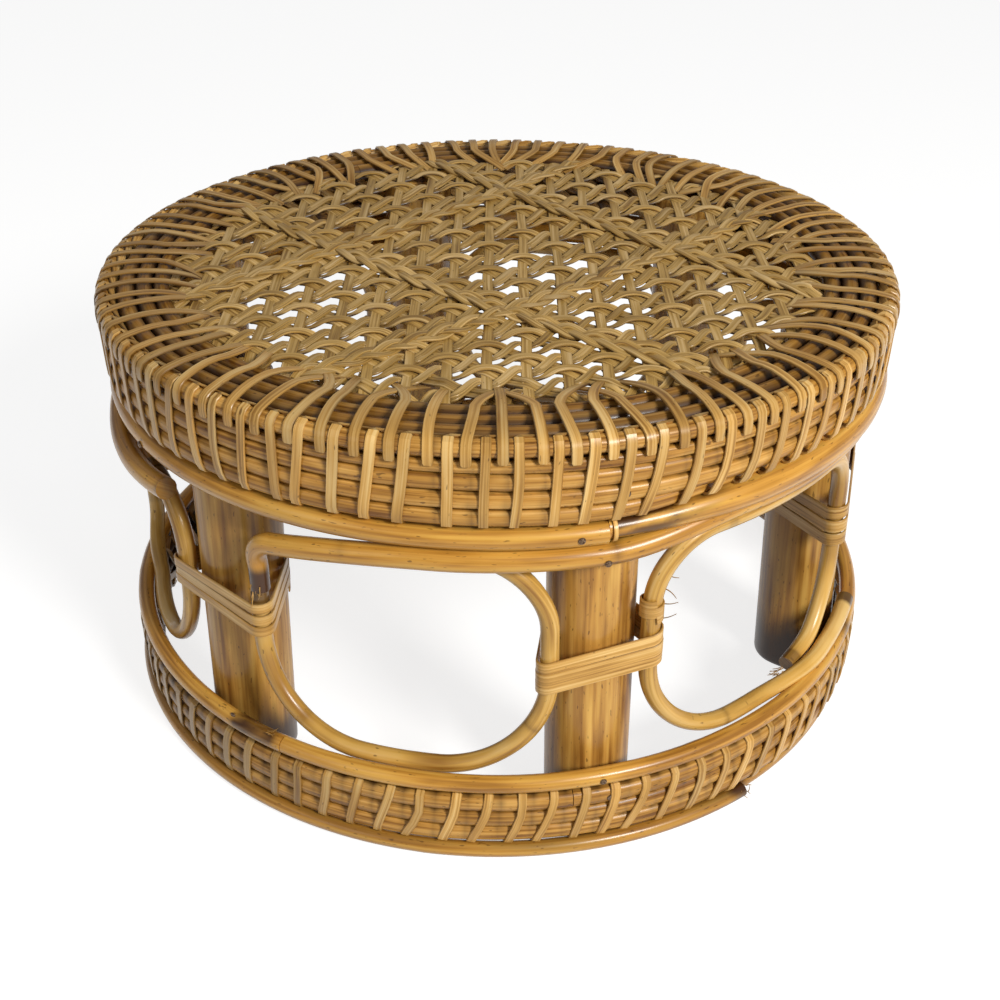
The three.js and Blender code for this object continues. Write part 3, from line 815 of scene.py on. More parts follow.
SEAT_PATH = scaled_path((
    (169.6, 184.0, 1, 0, 0.94), (169.6, 190.0, 1, 0, 1), (170.2, 193.8, 1, 0, 1),
    (171.4, 195.6, 0, 0, 0), (173.4, 196.05, 0, 0, 0), (175.5, 195.3, 0.01, 0.03, 0),
    (176.8, 193.4, 0.03, 0.1, 0), (177.15, 190.5, 0.08, 0.3, 0), (177.1, 186.5, 0.17, 0.6, 0),
    (177.05, 180.5, 0.34, 0.95, 0), (177.05, 174.5, 0.54, 1, 0), (177.05, 169.0, 0.76, 0.75, 0),
    (176.9, 164.8, 0.91, 0.35, 0), (175.9, 161.9, 0.98, 0.1, 0), (173.8, 160.9, 1, 0, 0),
    (171.2, 161.0, 1, 0, 0), (169.9, 162.4, 1, 0, 0.06), (169.6, 168.0, 1, 0, 0.35)))
SEAT_LIFT = 4.4 * MM
LIFT_TOP = 176 * MM
LIFT_REACH = 15 * MM
SEAT_TONE = 0.53


def seat_lean(angle, number):
    """Lean, bow and shift of one turn, in degrees; they change sides round the rim."""
    side = front_angle(angle)
    right = stretch(side, 8, 30, 80, 110)
    left = stretch(-side, 18, 42, 80, 110)
    lean = 1.1 + jitter(number, 1, 0.75) + 0.75 * right - 0.9 * left
    bow = 0.55 * right - 0.6 * left + jitter(number, 2, 0.22)
    return lean, bow, 0.55 + jitter(number, 3, 0.4)


def seat_lift(angle, height):
    """The strips end higher on the right, where the lowest side rod is tucked in."""
    share = min(1, max(0, (LIFT_TOP - height) / LIFT_REACH))
    return SEAT_LIFT * right_lift(angle) * share


def seat_tone(angle):
    """The same all round."""
    return SEAT_TONE


wrap("seat_wrap", "seat_binding", SEAT_PATH, seat_lean, 7, 30, seat_tone, seat_lift)

BASE_PATH = scaled_path((
    (174.7, 18.0, 1, 0, 0.5), (174.7, 29.5, 1, 0, 0.96), (175.6, 32.6, 1, 0, 1),
    (177.6, 33.35, 0, 0, 0), (181.0, 33.35, 0, 0, 0), (182.6, 32.2, 0.02, 0, 0),
    (183.3, 29.6, 0.1, 0.35, 0), (183.4, 24.0, 0.32, 1, 0), (183.4, 17.0, 0.64, 1, 0),
    (183.3, 12.0, 0.86, 0.5, 0), (182.6, 8.6, 0.97, 0.1, 0), (181.0, 7.2, 1, 0, 0),
    (177.6, 7.2, 1, 0, 0), (175.6, 8.2, 1, 0, 0.04), (174.7, 12.0, 1, 0, 0.2)))


def base_lean(angle, number):
    """Lean, bow and shift of one turn, in degrees; the lean eases off towards the left."""
    left = smooth(-front_angle(angle), 8, 34)
    lean = 2.4 + jitter(number, 4, 0.75) - 1.5 * left
    return lean, jitter(number, 5, 0.3) + 0.35 - 0.5 * left, 0.9 + jitter(number, 6, 0.5) - 0.4 * left


def base_tone(angle):
    """Darker at the left of the front."""
    return 0.5 - 0.4 * stretch(-front_angle(angle), 16, 30, 75, 100)


wrap("base_wrap", "base_binding", BASE_PATH, base_lean, 17, 40, base_tone, level_lift)


# Poles

POLE_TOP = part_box("leg_1")[1][2]
POLE_SIDES = 48
POLE_TONES = (0.5, 0.58, 0.4, 0.45, 0.45, 0.45)
POLE_LEVELS = (0, 0.004, 0.012, 0.03, 0.08, 0.13, 0.18, 0.24, 0.32, 0.4, 0.48, 0.56, 0.66, 0.76, 0.86,
               0.95, 0.99, 1)
POLE_EDGE = 1.1 * MM
DARK_FOOT = (10 * MM, 40 * MM)


def pole_place(height):
    """How far out a leaning pole's middle is at a height."""
    return POLE_PLACE - POLE_SLOPE * height


def pole(n, angle):
    """A thick cane, slightly faceted, with a rounded edge and a dark foot."""
    part = Piece()
    bmesh.ops.create_circle(part.bm, cap_ends=True, radius=1, segments=POLE_SIDES)
    face = next(iter(part.bm.faces))
    for k, share in enumerate(POLE_LEVELS):
        if k:
            face = grown(part.bm, face)
        height = share * POLE_TOP
        ease = min(share, 1 - share) * POLE_TOP
        centre = place(pole_place(height), angle, height)
        for vert in face.verts:
            a = math.atan2(vert.co.y, vert.co.x) if k == 0 else vert[part.cane][1] / POLE_RADIUS
            grain = 0.012 * drift(math.cos(a) * 1.7 + math.sin(a) * 2.3 + share * 0.6, n + 50)
            facet = 0.012 * math.cos(5 * a + n) + 0.006 * math.cos(9 * a + 2 * n)
            radius = POLE_RADIUS * (0.985 + grain + facet) - max(0, POLE_EDGE - ease) * 0.9
            vert[part.cane] = (height, a * POLE_RADIUS, n + 50)
            foot = 1 - smooth(height + 6 * MM * drift(a * 1.5, n + 55), *DARK_FOOT)
            stripe = 0.16 * drift(a * 2.6, n + 58)
            vert[part.look] = (POLE_TONES[n] + stripe, 0.1 + 0.85 * foot, 0)
            vert.co = centre + Vector((math.cos(a), math.sin(a), 0)) * radius
    piece = Piece()
    piece.take(part)
    piece.finish(f"pole_{n + 1}", pole_cane, "pole_cane", f"leg_{n + 1}")


for n, angle in enumerate(POLE_ANGLES):
    pole(n, angle)


# Loops between the poles

LOOP_STEPS = 120
LOOP_KNOTS = (0.17, 0.46, 0.83)
DARK_END_STEPS = 3

# The first loop's top is hidden behind the lower hoop
HIDDEN_LOOP = 0
HIDDEN_INWARDS = 3.2 * MM
HIDDEN_RISE = 4.5 * MM

# The second loop's ends pass each other, and one of them lies along the base hoop
OPEN_LOOP = 1
OPEN_START = 0.065
OPEN_RISE = 2.5 * MM
OPEN_INWARDS = 1.5 * MM
OVERLAP = 27
OVERLAP_STEPS = 30
OVERLAP_OUT = 7.2 * MM
OVERLAP_RISE = 5.2 * MM
OVERLAP_CURL = 4 * MM

# The sixth loop bulges on its left, with its lower corner pushed out
BULGED_LOOP = 5
BULGE = 6 * MM
CORNER_SHARE = 0.87
CORNER_PUSH = 3.6
CORNER_DROP = 2.5 * MM


def loop_shift(n, step, share, angle, height):
    """How one loop departs from the common shape: change of angle, of radius and of height."""
    if n == HIDDEN_LOOP:
        hidden = smooth(step, 0.76, 0.9)
        return 0, -HIDDEN_INWARDS * hidden, HIDDEN_RISE * hidden
    if n == OPEN_LOOP:
        shed = 1 - smooth(step, 0, 0.07)
        return 0, -OPEN_INWARDS * shed, OPEN_RISE * shed
    if n == BULGED_LOOP:
        corner = hump(share % 1, CORNER_SHARE, 0.06)
        centre, half = loops[n]
        leftwards = centre - angle + CORNER_PUSH * corner
        low = 1 - smooth(height - CORNER_DROP * corner, 90 * MM, 132 * MM)
        bulge = smooth(leftwards, 0.3 * half, half) * low
        return -CORNER_PUSH * corner, BULGE * bulge, -CORNER_DROP * corner
    return 0, 0, 0


def loop_course(n):
    """Points of a loop with their shares of its length, from one end to the other."""
    course = []
    start, length = LOOP_START_SHARES[n], LOOP_LENGTH_SHARES[n] - 0.0015
    if n == OPEN_LOOP:
        start, length = OPEN_START, 1 - OPEN_START
    for k in range(LOOP_STEPS + 1):
        step = k / LOOP_STEPS
        share = start + step * length
        angle, height = loop_point(n, share)
        wave = math.sin(math.pi * step)
        angle += angle_of(1.0 * MM * wave * drift(share * 6, n + 64), HOOP_PLACE)
        height += 0.9 * MM * wave * drift(share * 6, n + 67)
        radius = loop_place(height) + 0.4 * MM * drift(share * 9, n + 60)
        turn, out, rise = loop_shift(n, step, share, angle, height)
        course.append((share, place(radius + out, angle + turn, height + rise), angle + turn))
    if n == OPEN_LOOP:
        course += overlap_course(loops[n][0])
    return course


def overlap_course(centre):
    """The second loop's long end, which goes on outside the base hoop."""
    course = []
    for k in range(1, OVERLAP_STEPS + 1):
        t = k / OVERLAP_STEPS
        radius = loop_place(LOOP_BOTTOM) + OVERLAP_OUT * smooth(t, 0, 0.5)
        height = LOOP_BOTTOM + OVERLAP_RISE * smooth(t, 0.05, 0.6) + OVERLAP_CURL * t * t
        angle = centre + OVERLAP * t
        course.append((1 + 0.15 * t, place(radius, angle, height), angle))
    return course


def loop(n):
    """One bent cane between two poles."""
    course = loop_course(n)
    stations = []
    for k, (share, point, angle) in enumerate(course):
        thick = LOOP_RADIUS * (0.98 + 0.035 * drift(share * 14, n + 70))
        near_end = min(k, len(course) - 1 - k)
        stain_and_shade = 0.07 + (0.6 if near_end < DARK_END_STEPS else 0)
        for knot in LOOP_KNOTS:
            stain_and_shade += 0.45 * hump(share - course[0][0], knot + 0.05 * n, 1 / 150)
        tone = 0.5 + 0.15 * drift(share * 9, n + 73)
        stations.append((point, outward(angle), thick, thick, stain_and_shade, tone))
    piece = Piece()
    piece.take(drawn(ROUND, stations, 60 + n))
    piece.finish(f"loop_cane_{n + 1}", loop_cane, "hoop_cane", f"loop_{n + 1}")


for n in range(len(loops)):
    loop(n)


# Lashings: flat strip wound round a pole and the loop sides next to it

def tangent_facing(here, there):
    """Where a band leaves one rod for the next, as the way its surface faces there."""
    across = there[0] - here[0]
    return math.atan2(across.y, across.x) - math.acos((here[1] - there[1]) / across.length)


def tight_band(rods, clear, bends):
    """Corners of a band drawn tight round some rods of (place, radius), each with the way it faces."""
    corners = []
    for k, (at, radius) in enumerate(rods):
        first = tangent_facing(rods[k - 1], rods[k])
        turn = (tangent_facing(rods[k], rods[(k + 1) % len(rods)]) - first) % math.tau
        for b in range(bends[k] + 1):
            a = first + turn * b / bends[k]
            corners.append((at + Vector((math.cos(a), math.sin(a))) * (radius + clear),
                            Vector((math.cos(a), math.sin(a)))))
    return corners


# For each lashing: its rise and its slope to the right in millimetres, the share by which it fans
# out to the right, and its strip's half width in millimetres
LASHINGS = ((5, -1.0, 0.25, 2.3), (1, 3.4, 0.0, 2.6), (9, -1.5, -0.2, 3.0), (0, 1.0, 0.1, 2.3),
            (2, -1.0, 0.1, 2.3), (-2, 0.5, -0.1, 2.3))
LASHING_TURNS = 3
LASHING_TONES = (0.5, 0.66, 0.4, 0.5, 0.5, 0.5)
LASHING_BENDS = (16, 6, 6)
LASHING_PITCH = 2.02


def lashing_axes(angle, level):
    """The pole's middle at a level, with its upward, sideways and outward directions."""
    out = outward(angle)
    upward = (Vector((0, 0, 1)) - out * POLE_SLOPE).normalized()
    sideways = upward.cross(out).normalized()
    return place(pole_place(level), angle, level), upward, sideways, sideways.cross(upward).normalized()


def lashing(n, angle):
    """Three turns of strip round a pole and the loop sides on both sides of it."""
    raised, tilt, fan, wide = LASHINGS[n]
    level = LOOP_MIDDLE + raised * MM
    middle, upward, sideways, facing = lashing_axes(angle, level)
    rods = [(Vector((0, 0)), POLE_RADIUS)]
    before, after = loops[n - 1], loops[n]
    for side_angle in (before[0] + before[1], after[0] - after[1]):
        side = place(loop_place(level), side_angle, level) - middle
        rods.append((Vector((side.dot(facing), side.dot(sideways))), LOOP_RADIUS + 0.4 * MM))
    band = tight_band(rods, 0.2 * MM, LASHING_BENDS)
    reach = max(abs(corner.y) for corner, away in band)
    rise = LASHING_PITCH * wide * MM
    stations = []
    for k in range(LASHING_TURNS * len(band) + 1):
        corner, away = band[k % len(band)]
        turn = k / len(band)
        share = corner.y / reach
        height = rise * (turn - LASHING_TURNS / 2) * (1 + fan * share) + tilt * MM * share
        height += 0.8 * MM * drift(turn * 2.3, n + 80)
        layer = 0.25 * MM * (1 + drift(turn * 3.1, n + 84))
        point = middle + facing * (corner.x + away.x * layer) + sideways * (corner.y + away.y * layer)
        up = facing * away.x + sideways * away.y
        tone = LASHING_TONES[n] + 0.1 * drift(turn * 2, n + 88)
        stations.append((point + upward * height, up, wide * MM, STRIP_THICK, 0.04, tone))
    piece = Piece()
    piece.take(drawn(FLAT, stations, 80 + n))
    piece.finish(f"lashing_strip_{n + 1}", binding_cane, "binding_cane", f"lashing_{n + 1}")


for n, angle in enumerate(POLE_ANGLES):
    lashing(n, angle)


# Small loose things: a curled strip end, a collar on the second loop, frayed fibres

COLLAR_STEPS = 40
COLLAR_LEVEL = 113 * MM
COLLAR_RISE = 6.5 * MM
CURL_STEPS = 12
FIBRE_STEPS = 8
FIBRE_HALF = 0.26 * MM
FIBRE_THICK = 0.24 * MM


def curl():
    """The end of the first lashing, curled up beside the left pole."""
    stations = []
    angle = POLE_ANGLES[0]
    for k in range(CURL_STEPS + 1):
        t = k / CURL_STEPS
        at = angle - 9.5 - 1.6 * t + 1.2 * t * t
        radius = pole_place(LOOP_MIDDLE) + (7 + 5 * t) * MM
        height = LOOP_MIDDLE + (9 + 15 * t) * MM
        half = 2.2 * MM * (1 - 0.75 * t ** 2)
        up = (outward(at) + place(0.6, at - 90, 0)).normalized()
        stations.append((place(radius, at, height), up, half, STRIP_THICK * 0.8, 0.1, 0.5))
    return drawn(FLAT, stations, 95)


def collar():
    """Two turns of strip round the second loop's left side."""
    side = loops[OPEN_LOOP][0] - loops[OPEN_LOOP][1]
    stations = []
    for k in range(COLLAR_STEPS + 1):
        a = math.tau * 2 * k / COLLAR_STEPS
        height = COLLAR_LEVEL + (k / COLLAR_STEPS - 0.5) * COLLAR_RISE
        middle = place(loop_place(height), side, height)
        out = outward(side) * math.cos(a) + place(1, side + 90, 0) * math.sin(a)
        stations.append((middle + out * (LOOP_RADIUS + 0.3 * MM), out, 2.4 * MM, STRIP_THICK, 0.05, 0.5))
    return drawn(FLAT, stations, 96)


def torn_rim():
    """The pale curled edge where the upper hoop's torn end begins."""
    stations = []
    angle = UPPER_JOINT + 0.75
    middle = place(HOOP_PLACE - 0.6 * MM, angle, UPPER_HEIGHT + 0.6 * MM)
    for k in range(CURL_STEPS + 1):
        a = math.radians(-50 + 150 * k / CURL_STEPS)
        out = outward(angle) * math.cos(a) + Vector((0, 0, math.sin(a)))
        stations.append((middle + out * (HOOP_RADIUS * 0.94), out, 0.9 * MM, 0.4 * MM, 0, 0.7))
    return drawn(FLAT, stations, 97)


def fibre(point, way, length, curve, seed):
    """A thin loose thread that starts at a point and bends away."""
    stations = []
    side = way.cross(Vector((0, 0, 1))).normalized()
    tone = 0.5 + 0.2 * jitter(seed, 1, 1)
    for k in range(FIBRE_STEPS + 1):
        t = k / FIBRE_STEPS
        at = point + way * (length * t) + side * (curve * t * t) + Vector((0, 0, -0.4 * curve * t * t))
        half = FIBRE_HALF * (1 - 0.7 * t)
        stations.append((at, way.cross(side), half, FIBRE_THICK, 0.3, tone))
    return drawn(FLAT, stations, seed)


# Frayed ends: radius, angle and height, the way the fibres point, their number and length
FRAYS = (
    (loop_place(LIMB_END) + 3.4 * MM, LIMB_ANGLE, LIMB_END + 2 * MM, (0.1, -0.25, -1), 16, 6 * MM),
    (loop_place(50 * MM) + 1 * MM, loops[1][0] + 5.5, 46 * MM, (-0.7, -0.6, 0.1), 14, 5 * MM),
    (181.5 * MM, BASE_JOINT - 3, 41.2 * MM, (0.9, -0.4, 0.1), 10, 5 * MM),
    (184 * MM, FOOT_JOINT - 0.5, 4.5 * MM, (0.9, 0.5, 0.2), 6, 3 * MM),
)
FIRST_FIBRE = 501
COLLAR_FIBRES = 4


def loose_ends():
    """All the small loose things, in one piece."""
    strays = Piece()
    strays.take(curl())
    strays.take(collar())
    strays.take(torn_rim())
    serial = FIRST_FIBRE
    for radius, angle, height, way, count, length in FRAYS:
        for _ in range(count):
            start = place(radius + spread(1.5) * MM, angle + spread(1.0), height + spread(2.2) * MM)
            heading = (Vector(way) + Vector((spread(0.35), spread(0.35), spread(0.35)))).normalized()
            reach = length * draws.uniform(0.5, 1.1)
            strays.take(fibre(start, heading, reach, spread(3) * MM, serial))
            serial += 1
    side = loops[OPEN_LOOP][0] - loops[OPEN_LOOP][1]
    for k in range(COLLAR_FIBRES):
        start = place(loop_place(120 * MM), side + 2.0, (106 + 7 * k) * MM)
        heading = Vector((0.8, -0.3, 0.3 - 0.25 * k)).normalized()
        strays.take(fibre(start, heading, 5 * MM, spread(4) * MM, serial))
        serial += 1
    strays.finish("loose_ends", binding_cane, "binding_cane")


loose_ends()


# Woven seat

def column_x(i):
    """Where a column of cells stands, from left to right."""
    return WEAVE_X + i * CELL


def row_y(j):
    """Where a row of cells lies, from front to back; the rows spread towards the back."""
    return WEAVE_Y + j * CELL + j * j * ROW_SPREAD


def between(keys, share):
    """A smooth course through (share, value) pairs that repeats after each cell."""
    share %= 1
    for (a, low), (b, high) in zip(keys, keys[1:]):
        if a <= share <= b:
            return low + (high - low) * smooth(share, a, b)
    return keys[0][1]


# Heights in millimetres along one cell, from one closed cell's middle to the next: the first set
# of diagonals runs down to the right over the uprights, the second up to the right under them
OVER_HEIGHT = ((0, -0.6), (0.25, -0.4), (0.4, 0.3), (0.5, 0.5), (0.6, 0.3), (0.75, -0.3), (1, -0.6))
UNDER_HEIGHT = ((0, 0.4), (0.2, 0.3), (0.3, -0.1), (0.4, -1.0), (0.5, -1.3), (0.6, -1.0), (0.7, -0.1),
                (0.8, 0.3), (1, 0.4))

# How far the strands sink at the net's edge, and where this starts
EDGE_SINK = 2.6 * MM
EDGE_REACH = 8 * MM


def strand(piece, line, half, seed, tone):
    """A strand along a line of (point, share of its width), kept within the net's round edge."""
    runs, widths = [], []
    for point, width in line:
        if math.hypot(point.x, point.y) < NET_RADIUS:
            runs.append(point)
            widths.append(width)
        elif runs:
            break
    if len(runs) < 6:
        return
    stations = []
    for n, point in enumerate(runs):
        away = NET_RADIUS - math.hypot(point.x, point.y)
        sink = EDGE_SINK * max(0, 1 - away / EDGE_REACH)
        # Painted shade: strands are darker the deeper they lie in the net
        depth = (NET_HEIGHT - point.z) / MM
        stain_and_shade = 0.06 + 0.55 * min(1, max(0, depth / 1.3))
        wide = half * widths[n] * (1 + 0.06 * drift(n * 0.21, seed + 1))
        stations.append((point - Vector((0, 0, sink)), Vector((0, 0, 1)), wide, STRIP_THICK, stain_and_shade,
                         tone + 0.08 * drift(n * 0.09, seed + 2)))
    piece.take(drawn(FLAT, stations, seed))


def diagonal(cells, way, rise_at, bend_at, seed):
    """Points of a strand through the closed cells of one diagonal; way is 1 for rising to the right."""
    points = []
    for k in EACH_STEP:
        i = k / PER_CELL
        j = i * way + cells
        y = row_y(j) + bend_at(i) + 0.5 * MM * drift(i * 0.8, seed)
        rise = rise_at(i) + 0.15 * MM * drift(i * 1.1, seed + 3)
        points.append((Vector((column_x(i), y, NET_HEIGHT + rise)), 1))
    return points


UPRIGHT_HALF = 2.25 * MM
UPRIGHT_STEP = 2.2 * MM
OVER_SHIFTS = (0.6 * MM, -3.5 * MM)
OVER_SWAY = 0.5 * MM
UNDER_SHIFTS = (-1.1 * MM, 1.1 * MM)
UNDER_SWAY = 3.4 * MM
ROW_HALF = 2.0 * MM
ROW_LIFT = 0.2 * MM
ROW_CREST = 1.45 * MM
ROW_SWAY = 2.2 * MM
ROW_SHIFT = -3.1 * MM
BRAID_HALF = 1.95 * MM
BRAID_LIFT = 1.6 * MM
BRAID_SWING = 4.6 * MM


def weave_uprights():
    """Straight strands from front to back, one between each two columns of cells."""
    piece = Piece()
    for i in range(-CELLS, CELLS + 1):
        x = column_x(i + 0.5)
        line = []
        for k in range(-70, 71):
            y = k * UPRIGHT_STEP
            line.append((Vector((x + 0.7 * MM * drift(y * 22, i + 200), y, NET_HEIGHT - 0.2 * MM)), 1))
        strand(piece, line, UPRIGHT_HALF, 100 + i, 0.52 + spread(0.1))
    return piece


def weave_diagonals():
    """Pairs of strands through the closed cells, one set over the uprights and one under them."""
    over, under = Piece(), Piece()
    for c in range(-2 * CELLS, 2 * CELLS + 1, 2):
        for n in range(2):
            seed = 300 + 2 * c + n

            def over_rise(i, n=n):
                return (between(OVER_HEIGHT, i) - 0.25 * n) * MM

            def over_bend(i, n=n):
                return OVER_SHIFTS[n] + OVER_SWAY * math.sin(math.tau * i)

            def under_rise(i, n=n):
                return (between(UNDER_HEIGHT, i) + 0.2 * n) * MM

            def under_bend(i, n=n):
                return UNDER_SHIFTS[n] + UNDER_SWAY * math.sin(math.tau * i)

            strand(over, diagonal(c, -1, over_rise, over_bend, seed), STRAND_HALF, seed,
                   0.5 + spread(0.14))
            strand(under, diagonal(c, 1, under_rise, under_bend, seed + 500), STRAND_HALF, seed + 500,
                   0.46 + spread(0.14))
    return over, under


def weave_rows():
    """Strands that bulge over every second upright and dip under the next, narrow as they come up."""
    piece = Piece()
    for m in range(-CELLS, CELLS + 1):
        line = []
        for k in EACH_STEP:
            u, v = k / PER_CELL, m + 0.5
            wave = math.cos(math.pi * (u + v))
            crest = math.tanh(1.6 * wave) / math.tanh(1.6)
            coming_up = (u + v + 1) % 2 - 1
            width = 1 - 0.42 * hump(coming_up, -0.7, 0.18)
            y = row_y(v) + ROW_SWAY * wave + ROW_SHIFT + 0.5 * MM * drift(u * 0.7, m + 260)
            line.append((Vector((column_x(u), y, NET_HEIGHT + ROW_CREST * crest + ROW_LIFT)), width))
        strand(piece, line, ROW_HALF, 230 + m, 0.58 + spread(0.14))
    return piece


def weave_braids():
    """Braids of three strands along the sides of the middle lozenge, out to the rim."""
    piece = Piece()
    for way in (-1, 1):
        for c in (-BRAID_CELLS, BRAID_CELLS):
            for n in range(3):
                seed = 900 + 10 * c + n + way

                def lift(i, n=n):
                    return BRAID_LIFT + 0.65 * MM * math.sin(math.tau * (i + 2 * n / 3))

                def wander(i, n=n):
                    return BRAID_SWING * math.sin(math.tau * (i / 2 + n / 3))

                strand(piece, diagonal(c, way, lift, wander, seed), BRAID_HALF, seed, 0.55 + spread(0.12))
    return piece


# The strands' tails, as radius and height in millimetres, from the net over the rim to its side
TAIL_PATH = ((131, 192.9), (135, 194.3), (139, 195.4), (143, 196.3), (147, 197.0), (152, 197.7),
             (157, 198.1), (162, 198.1), (167, 197.7), (171, 197.0), (174, 196.3), (176.2, 195.0),
             (177.3, 192.8), (177.6, 190.4), (177.5, 188.4), (177.4, 187.6))
TAIL_SHIFT = 0.64

# Where along a tail it lies loose, bows sideways and arches up, also in millimetres
LOOSE_FROM = 152
LOOSE_LENGTH = 21
BOW_FROM = 127
BOW_LENGTH = 50
ARCH_PLACE = 160
ARCH_WIDTH = 8


def tail(n):
    """One tail, with its own swing towards the net, bow, arch and end."""
    angle = n * TURN_ANGLE + TAIL_SHIFT + spread(0.35)
    swing = spread(6.5)
    bow = spread(0.95)
    # Painted shade: tails round the left get a darker tone and more brown
    left = stretch(-front_angle(angle), 25, 60, 130, 165)
    tone = 0.42 - 0.13 * left + spread(0.17)
    low_end = spread(1.2)
    arch = spread(0.5)
    above = 2.4 * draws.random()
    last = len(TAIL_PATH) - 1
    stations = []
    for k, (radius, height) in enumerate(TAIL_PATH):
        before, after = TAIL_PATH[max(k - 1, 0)], TAIL_PATH[min(k + 1, last)]
        slope = Vector((after[0] - before[0], after[1] - before[1])).normalized()
        loose = max(0, (LOOSE_FROM - radius) / LOOSE_LENGTH)
        bowed = min(1, (radius - BOW_FROM) / BOW_LENGTH)
        at = angle + swing * loose ** 1.5 + bow * math.sin(math.pi * bowed)
        up = outward(at) * -slope.y + Vector((0, 0, slope.x))
        half = STRIP_HALF * (1.04 if k < last else 0.8)
        drop = low_end if k > last - 2 else 0
        bulge = arch * hump(radius, ARCH_PLACE, ARCH_WIDTH) + above * loose * math.exp(-loose)
        # Browner on the left as painted shade, and browner where the tail lies loose
        stain_and_shade = 0.12 + 0.1 * left + 0.25 * smooth(loose, 0.4, 1)
        stations.append((place(radius * MM, at, (height + drop * 0.6 + bulge) * MM), up, half,
                         STRIP_THICK, stain_and_shade, tone))
    return drawn(FLAT, stations, 400 + n)


def weave_tails():
    """A tail between each two turns of the binding."""
    piece = Piece()
    for n in range(TURNS):
        piece.take(tail(n))
    return piece


def woven_seat():
    """The seat's sets of strands, each a piece of its own."""
    uprights = weave_uprights()
    over, under = weave_diagonals()
    rows = weave_rows()
    braids = weave_braids()
    tails = weave_tails()
    for piece, name in ((uprights, "weave_uprights"), (rows, "weave_rows"),
                        (over, "weave_over_strands"), (under, "weave_under_strands"),
                        (braids, "weave_braids")):
        piece.finish(name, weave_cane, "weave_cane", "seat_weave")
    tails.finish("weave_tails", binding_cane, "binding_cane", "seat_weave")


woven_seat()


# Nails

NAIL_RADIUS = 1.5 * MM
NAIL_FLATNESS = 0.45
HOOP_FACE = HOOP_PLACE + HOOP_RADIUS

# Angle, radius and height of each nail's head: on the hoops, on a side rod and on the base
NAILS = ((10, HOOP_FACE, UPPER_HEIGHT), (13.4, HOOP_FACE, LOWER_HEIGHT - 1.5 * MM),
         (-55.5, HOOP_FACE, UPPER_HEIGHT - 1 * MM), (15.3, 177 * MM, 172.3 * MM),
         (13.9, 183.3 * MM, 38.3 * MM), (15.0, 183.2 * MM, 28.4 * MM), (-39.5, 181 * MM, 41.6 * MM))


def nail(piece, point, facing):
    """A domed nail head."""
    part = Piece()
    bmesh.ops.create_uvsphere(part.bm, u_segments=12, v_segments=6, radius=NAIL_RADIUS)
    bmesh.ops.scale(part.bm, verts=part.bm.verts, vec=(1, 1, NAIL_FLATNESS))
    turn = facing.to_track_quat("Z", "Y").to_matrix()
    bmesh.ops.rotate(part.bm, verts=part.bm.verts, cent=(0, 0, 0), matrix=turn)
    bmesh.ops.translate(part.bm, verts=part.bm.verts, vec=point)
    piece.take(part)


def nails():
    """All the nail heads, in one piece."""
    piece = Piece()
    for angle, radius, height in NAILS:
        nail(piece, place(radius, angle, height), outward(angle))
    piece.finish("nails", nail_metal, "hoop_cane")


nails()


# Floor, light and camera

def seen_rays(tree, x, y):
    """1 for the rays that show the floor: straight ones, and those off gloss or through glass."""
    path = node(tree, "ShaderNodeLightPath", x, y)
    total = path.outputs["Is Camera Ray"]
    for n, kind in enumerate(("Is Glossy Ray", "Is Transmission Ray")):
        added = node(tree, "ShaderNodeMath", x + 200 * (n + 1), y, operation="ADD", use_clamp=True)
        tree.links.new(total, added.inputs[0])
        tree.links.new(path.outputs[kind], added.inputs[1])
        total = added.outputs[0]
    return total


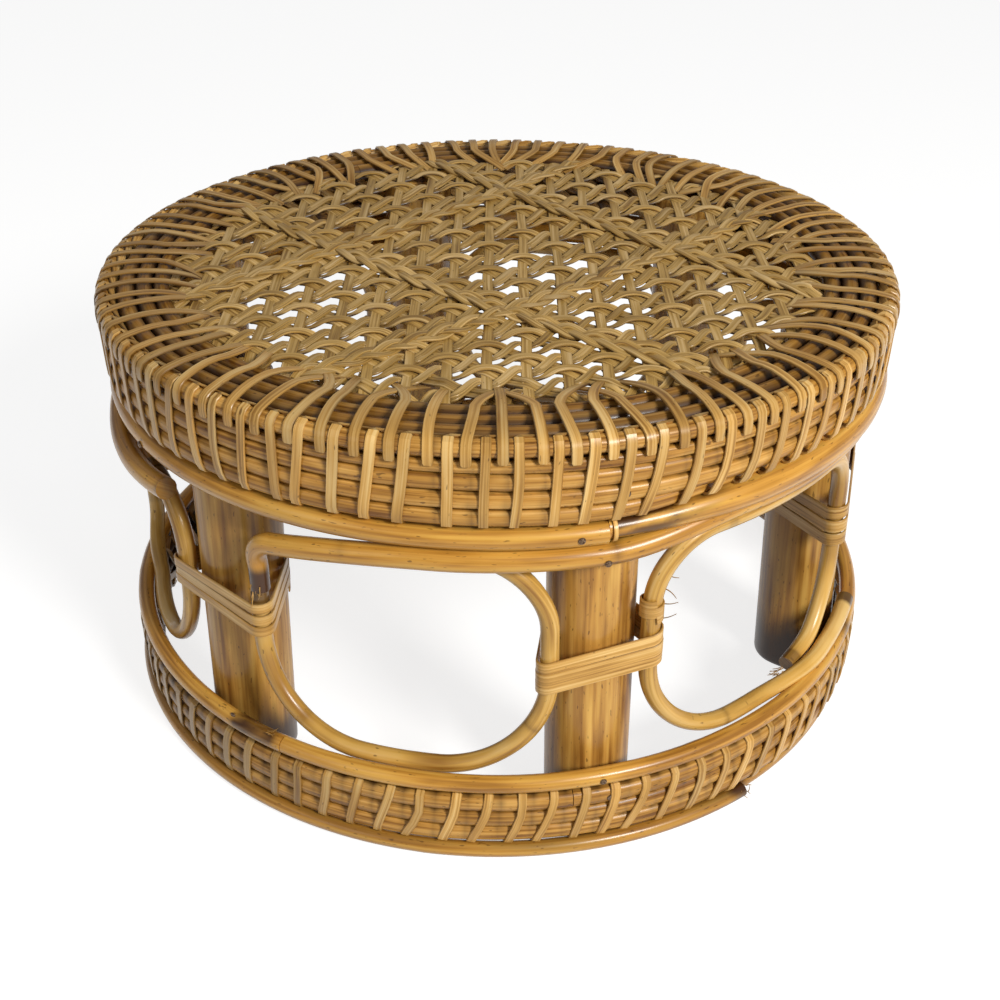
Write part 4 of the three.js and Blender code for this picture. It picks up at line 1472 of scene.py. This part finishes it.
def floor_finish():
    """Seen as near white with the stool's shadow on it, and a middle grey to the light."""
    made = bpy.data.materials.new("pale floor")
    made.use_nodes = True
    tree = made.node_tree
    tree.nodes.clear()
    link = tree.links.new
    out = node(tree, "ShaderNodeOutputMaterial", 600, 0)
    plain = node(tree, "ShaderNodeBsdfDiffuse", 0, 0)
    plain.inputs["Color"].default_value = (0.4, 0.4, 0.4, 1)
    seen = node(tree, "ShaderNodeEmission", 0, -200)
    seen.inputs["Strength"].default_value = 0.79
    both = node(tree, "ShaderNodeAddShader", 200, -100)
    dim = node(tree, "ShaderNodeBsdfDiffuse", 0, -400)
    dim.inputs["Color"].default_value = (0.42, 0.42, 0.42, 1)
    mix = node(tree, "ShaderNodeMixShader", 400, 0)
    link(dim.outputs[0], both.inputs[0])
    link(seen.outputs[0], both.inputs[1])
    link(seen_rays(tree, -300, 300), mix.inputs[0])
    link(plain.outputs[0], mix.inputs[1])
    link(both.outputs[0], mix.inputs[2])
    link(mix.outputs[0], out.inputs[0])
    return made


FLOOR_REACH = 4
STOOL_MIDDLE = Vector((0, 0, 0.1))


def pale_floor():
    """A wide flat floor, which is no part of the stool."""
    bm = bmesh.new()
    bmesh.ops.create_grid(bm, x_segments=2, y_segments=2, size=FLOOR_REACH)
    mesh = bpy.data.meshes.new("floor")
    bm.to_mesh(mesh)
    bm.free()
    mesh.materials.append(floor_finish())
    floor = bpy.data.objects.new("floor", mesh)
    bpy.context.scene.collection.objects.link(floor)


def studio_world():
    """Soft even light from all round."""
    world = bpy.data.worlds.new("studio")
    bpy.context.scene.world = world
    world.use_nodes = True
    light = world.node_tree.nodes["Background"]
    light.inputs["Color"].default_value = (1, 1, 1, 1)
    light.inputs["Strength"].default_value = 0.28


def lamp(name, where, size, power, color=(1, 1, 1)):
    """A round soft lamp that faces the stool's middle."""
    data = bpy.data.lights.new(name, "AREA")
    data.shape = "DISK"
    data.size = size
    data.energy = power
    data.color = color
    made = bpy.data.objects.new(name, data)
    made.location = where
    made.rotation_euler = (STOOL_MIDDLE - Vector(where)).to_track_quat("-Z", "Y").to_euler()
    bpy.context.scene.collection.objects.link(made)


def photo_camera():
    """The photograph's view, fitted to the ellipses of the rim and the base."""
    data = bpy.data.cameras.new("camera")
    data.sensor_width = 36
    data.lens = 47.12
    data.shift_x = 0.0028
    data.shift_y = 0.1055
    data.clip_start = 0.01
    camera = bpy.data.objects.new("camera", data)
    camera.location = (0, -0.5747, 0.4142)
    camera.rotation_euler = (math.radians(54.22), 0, 0)
    bpy.context.scene.collection.objects.link(camera)
    bpy.context.scene.camera = camera


pale_floor()
studio_world()
lamp("key", (0.8, -1.11, 0.95), 0.4, 21.5, (1, 0.98, 0.94))
lamp("fill", (-1.2, -1.2, 0.9), 1.0, 3)
photo_camera()
bpy.context.scene.view_settings.view_transform = "Standard"
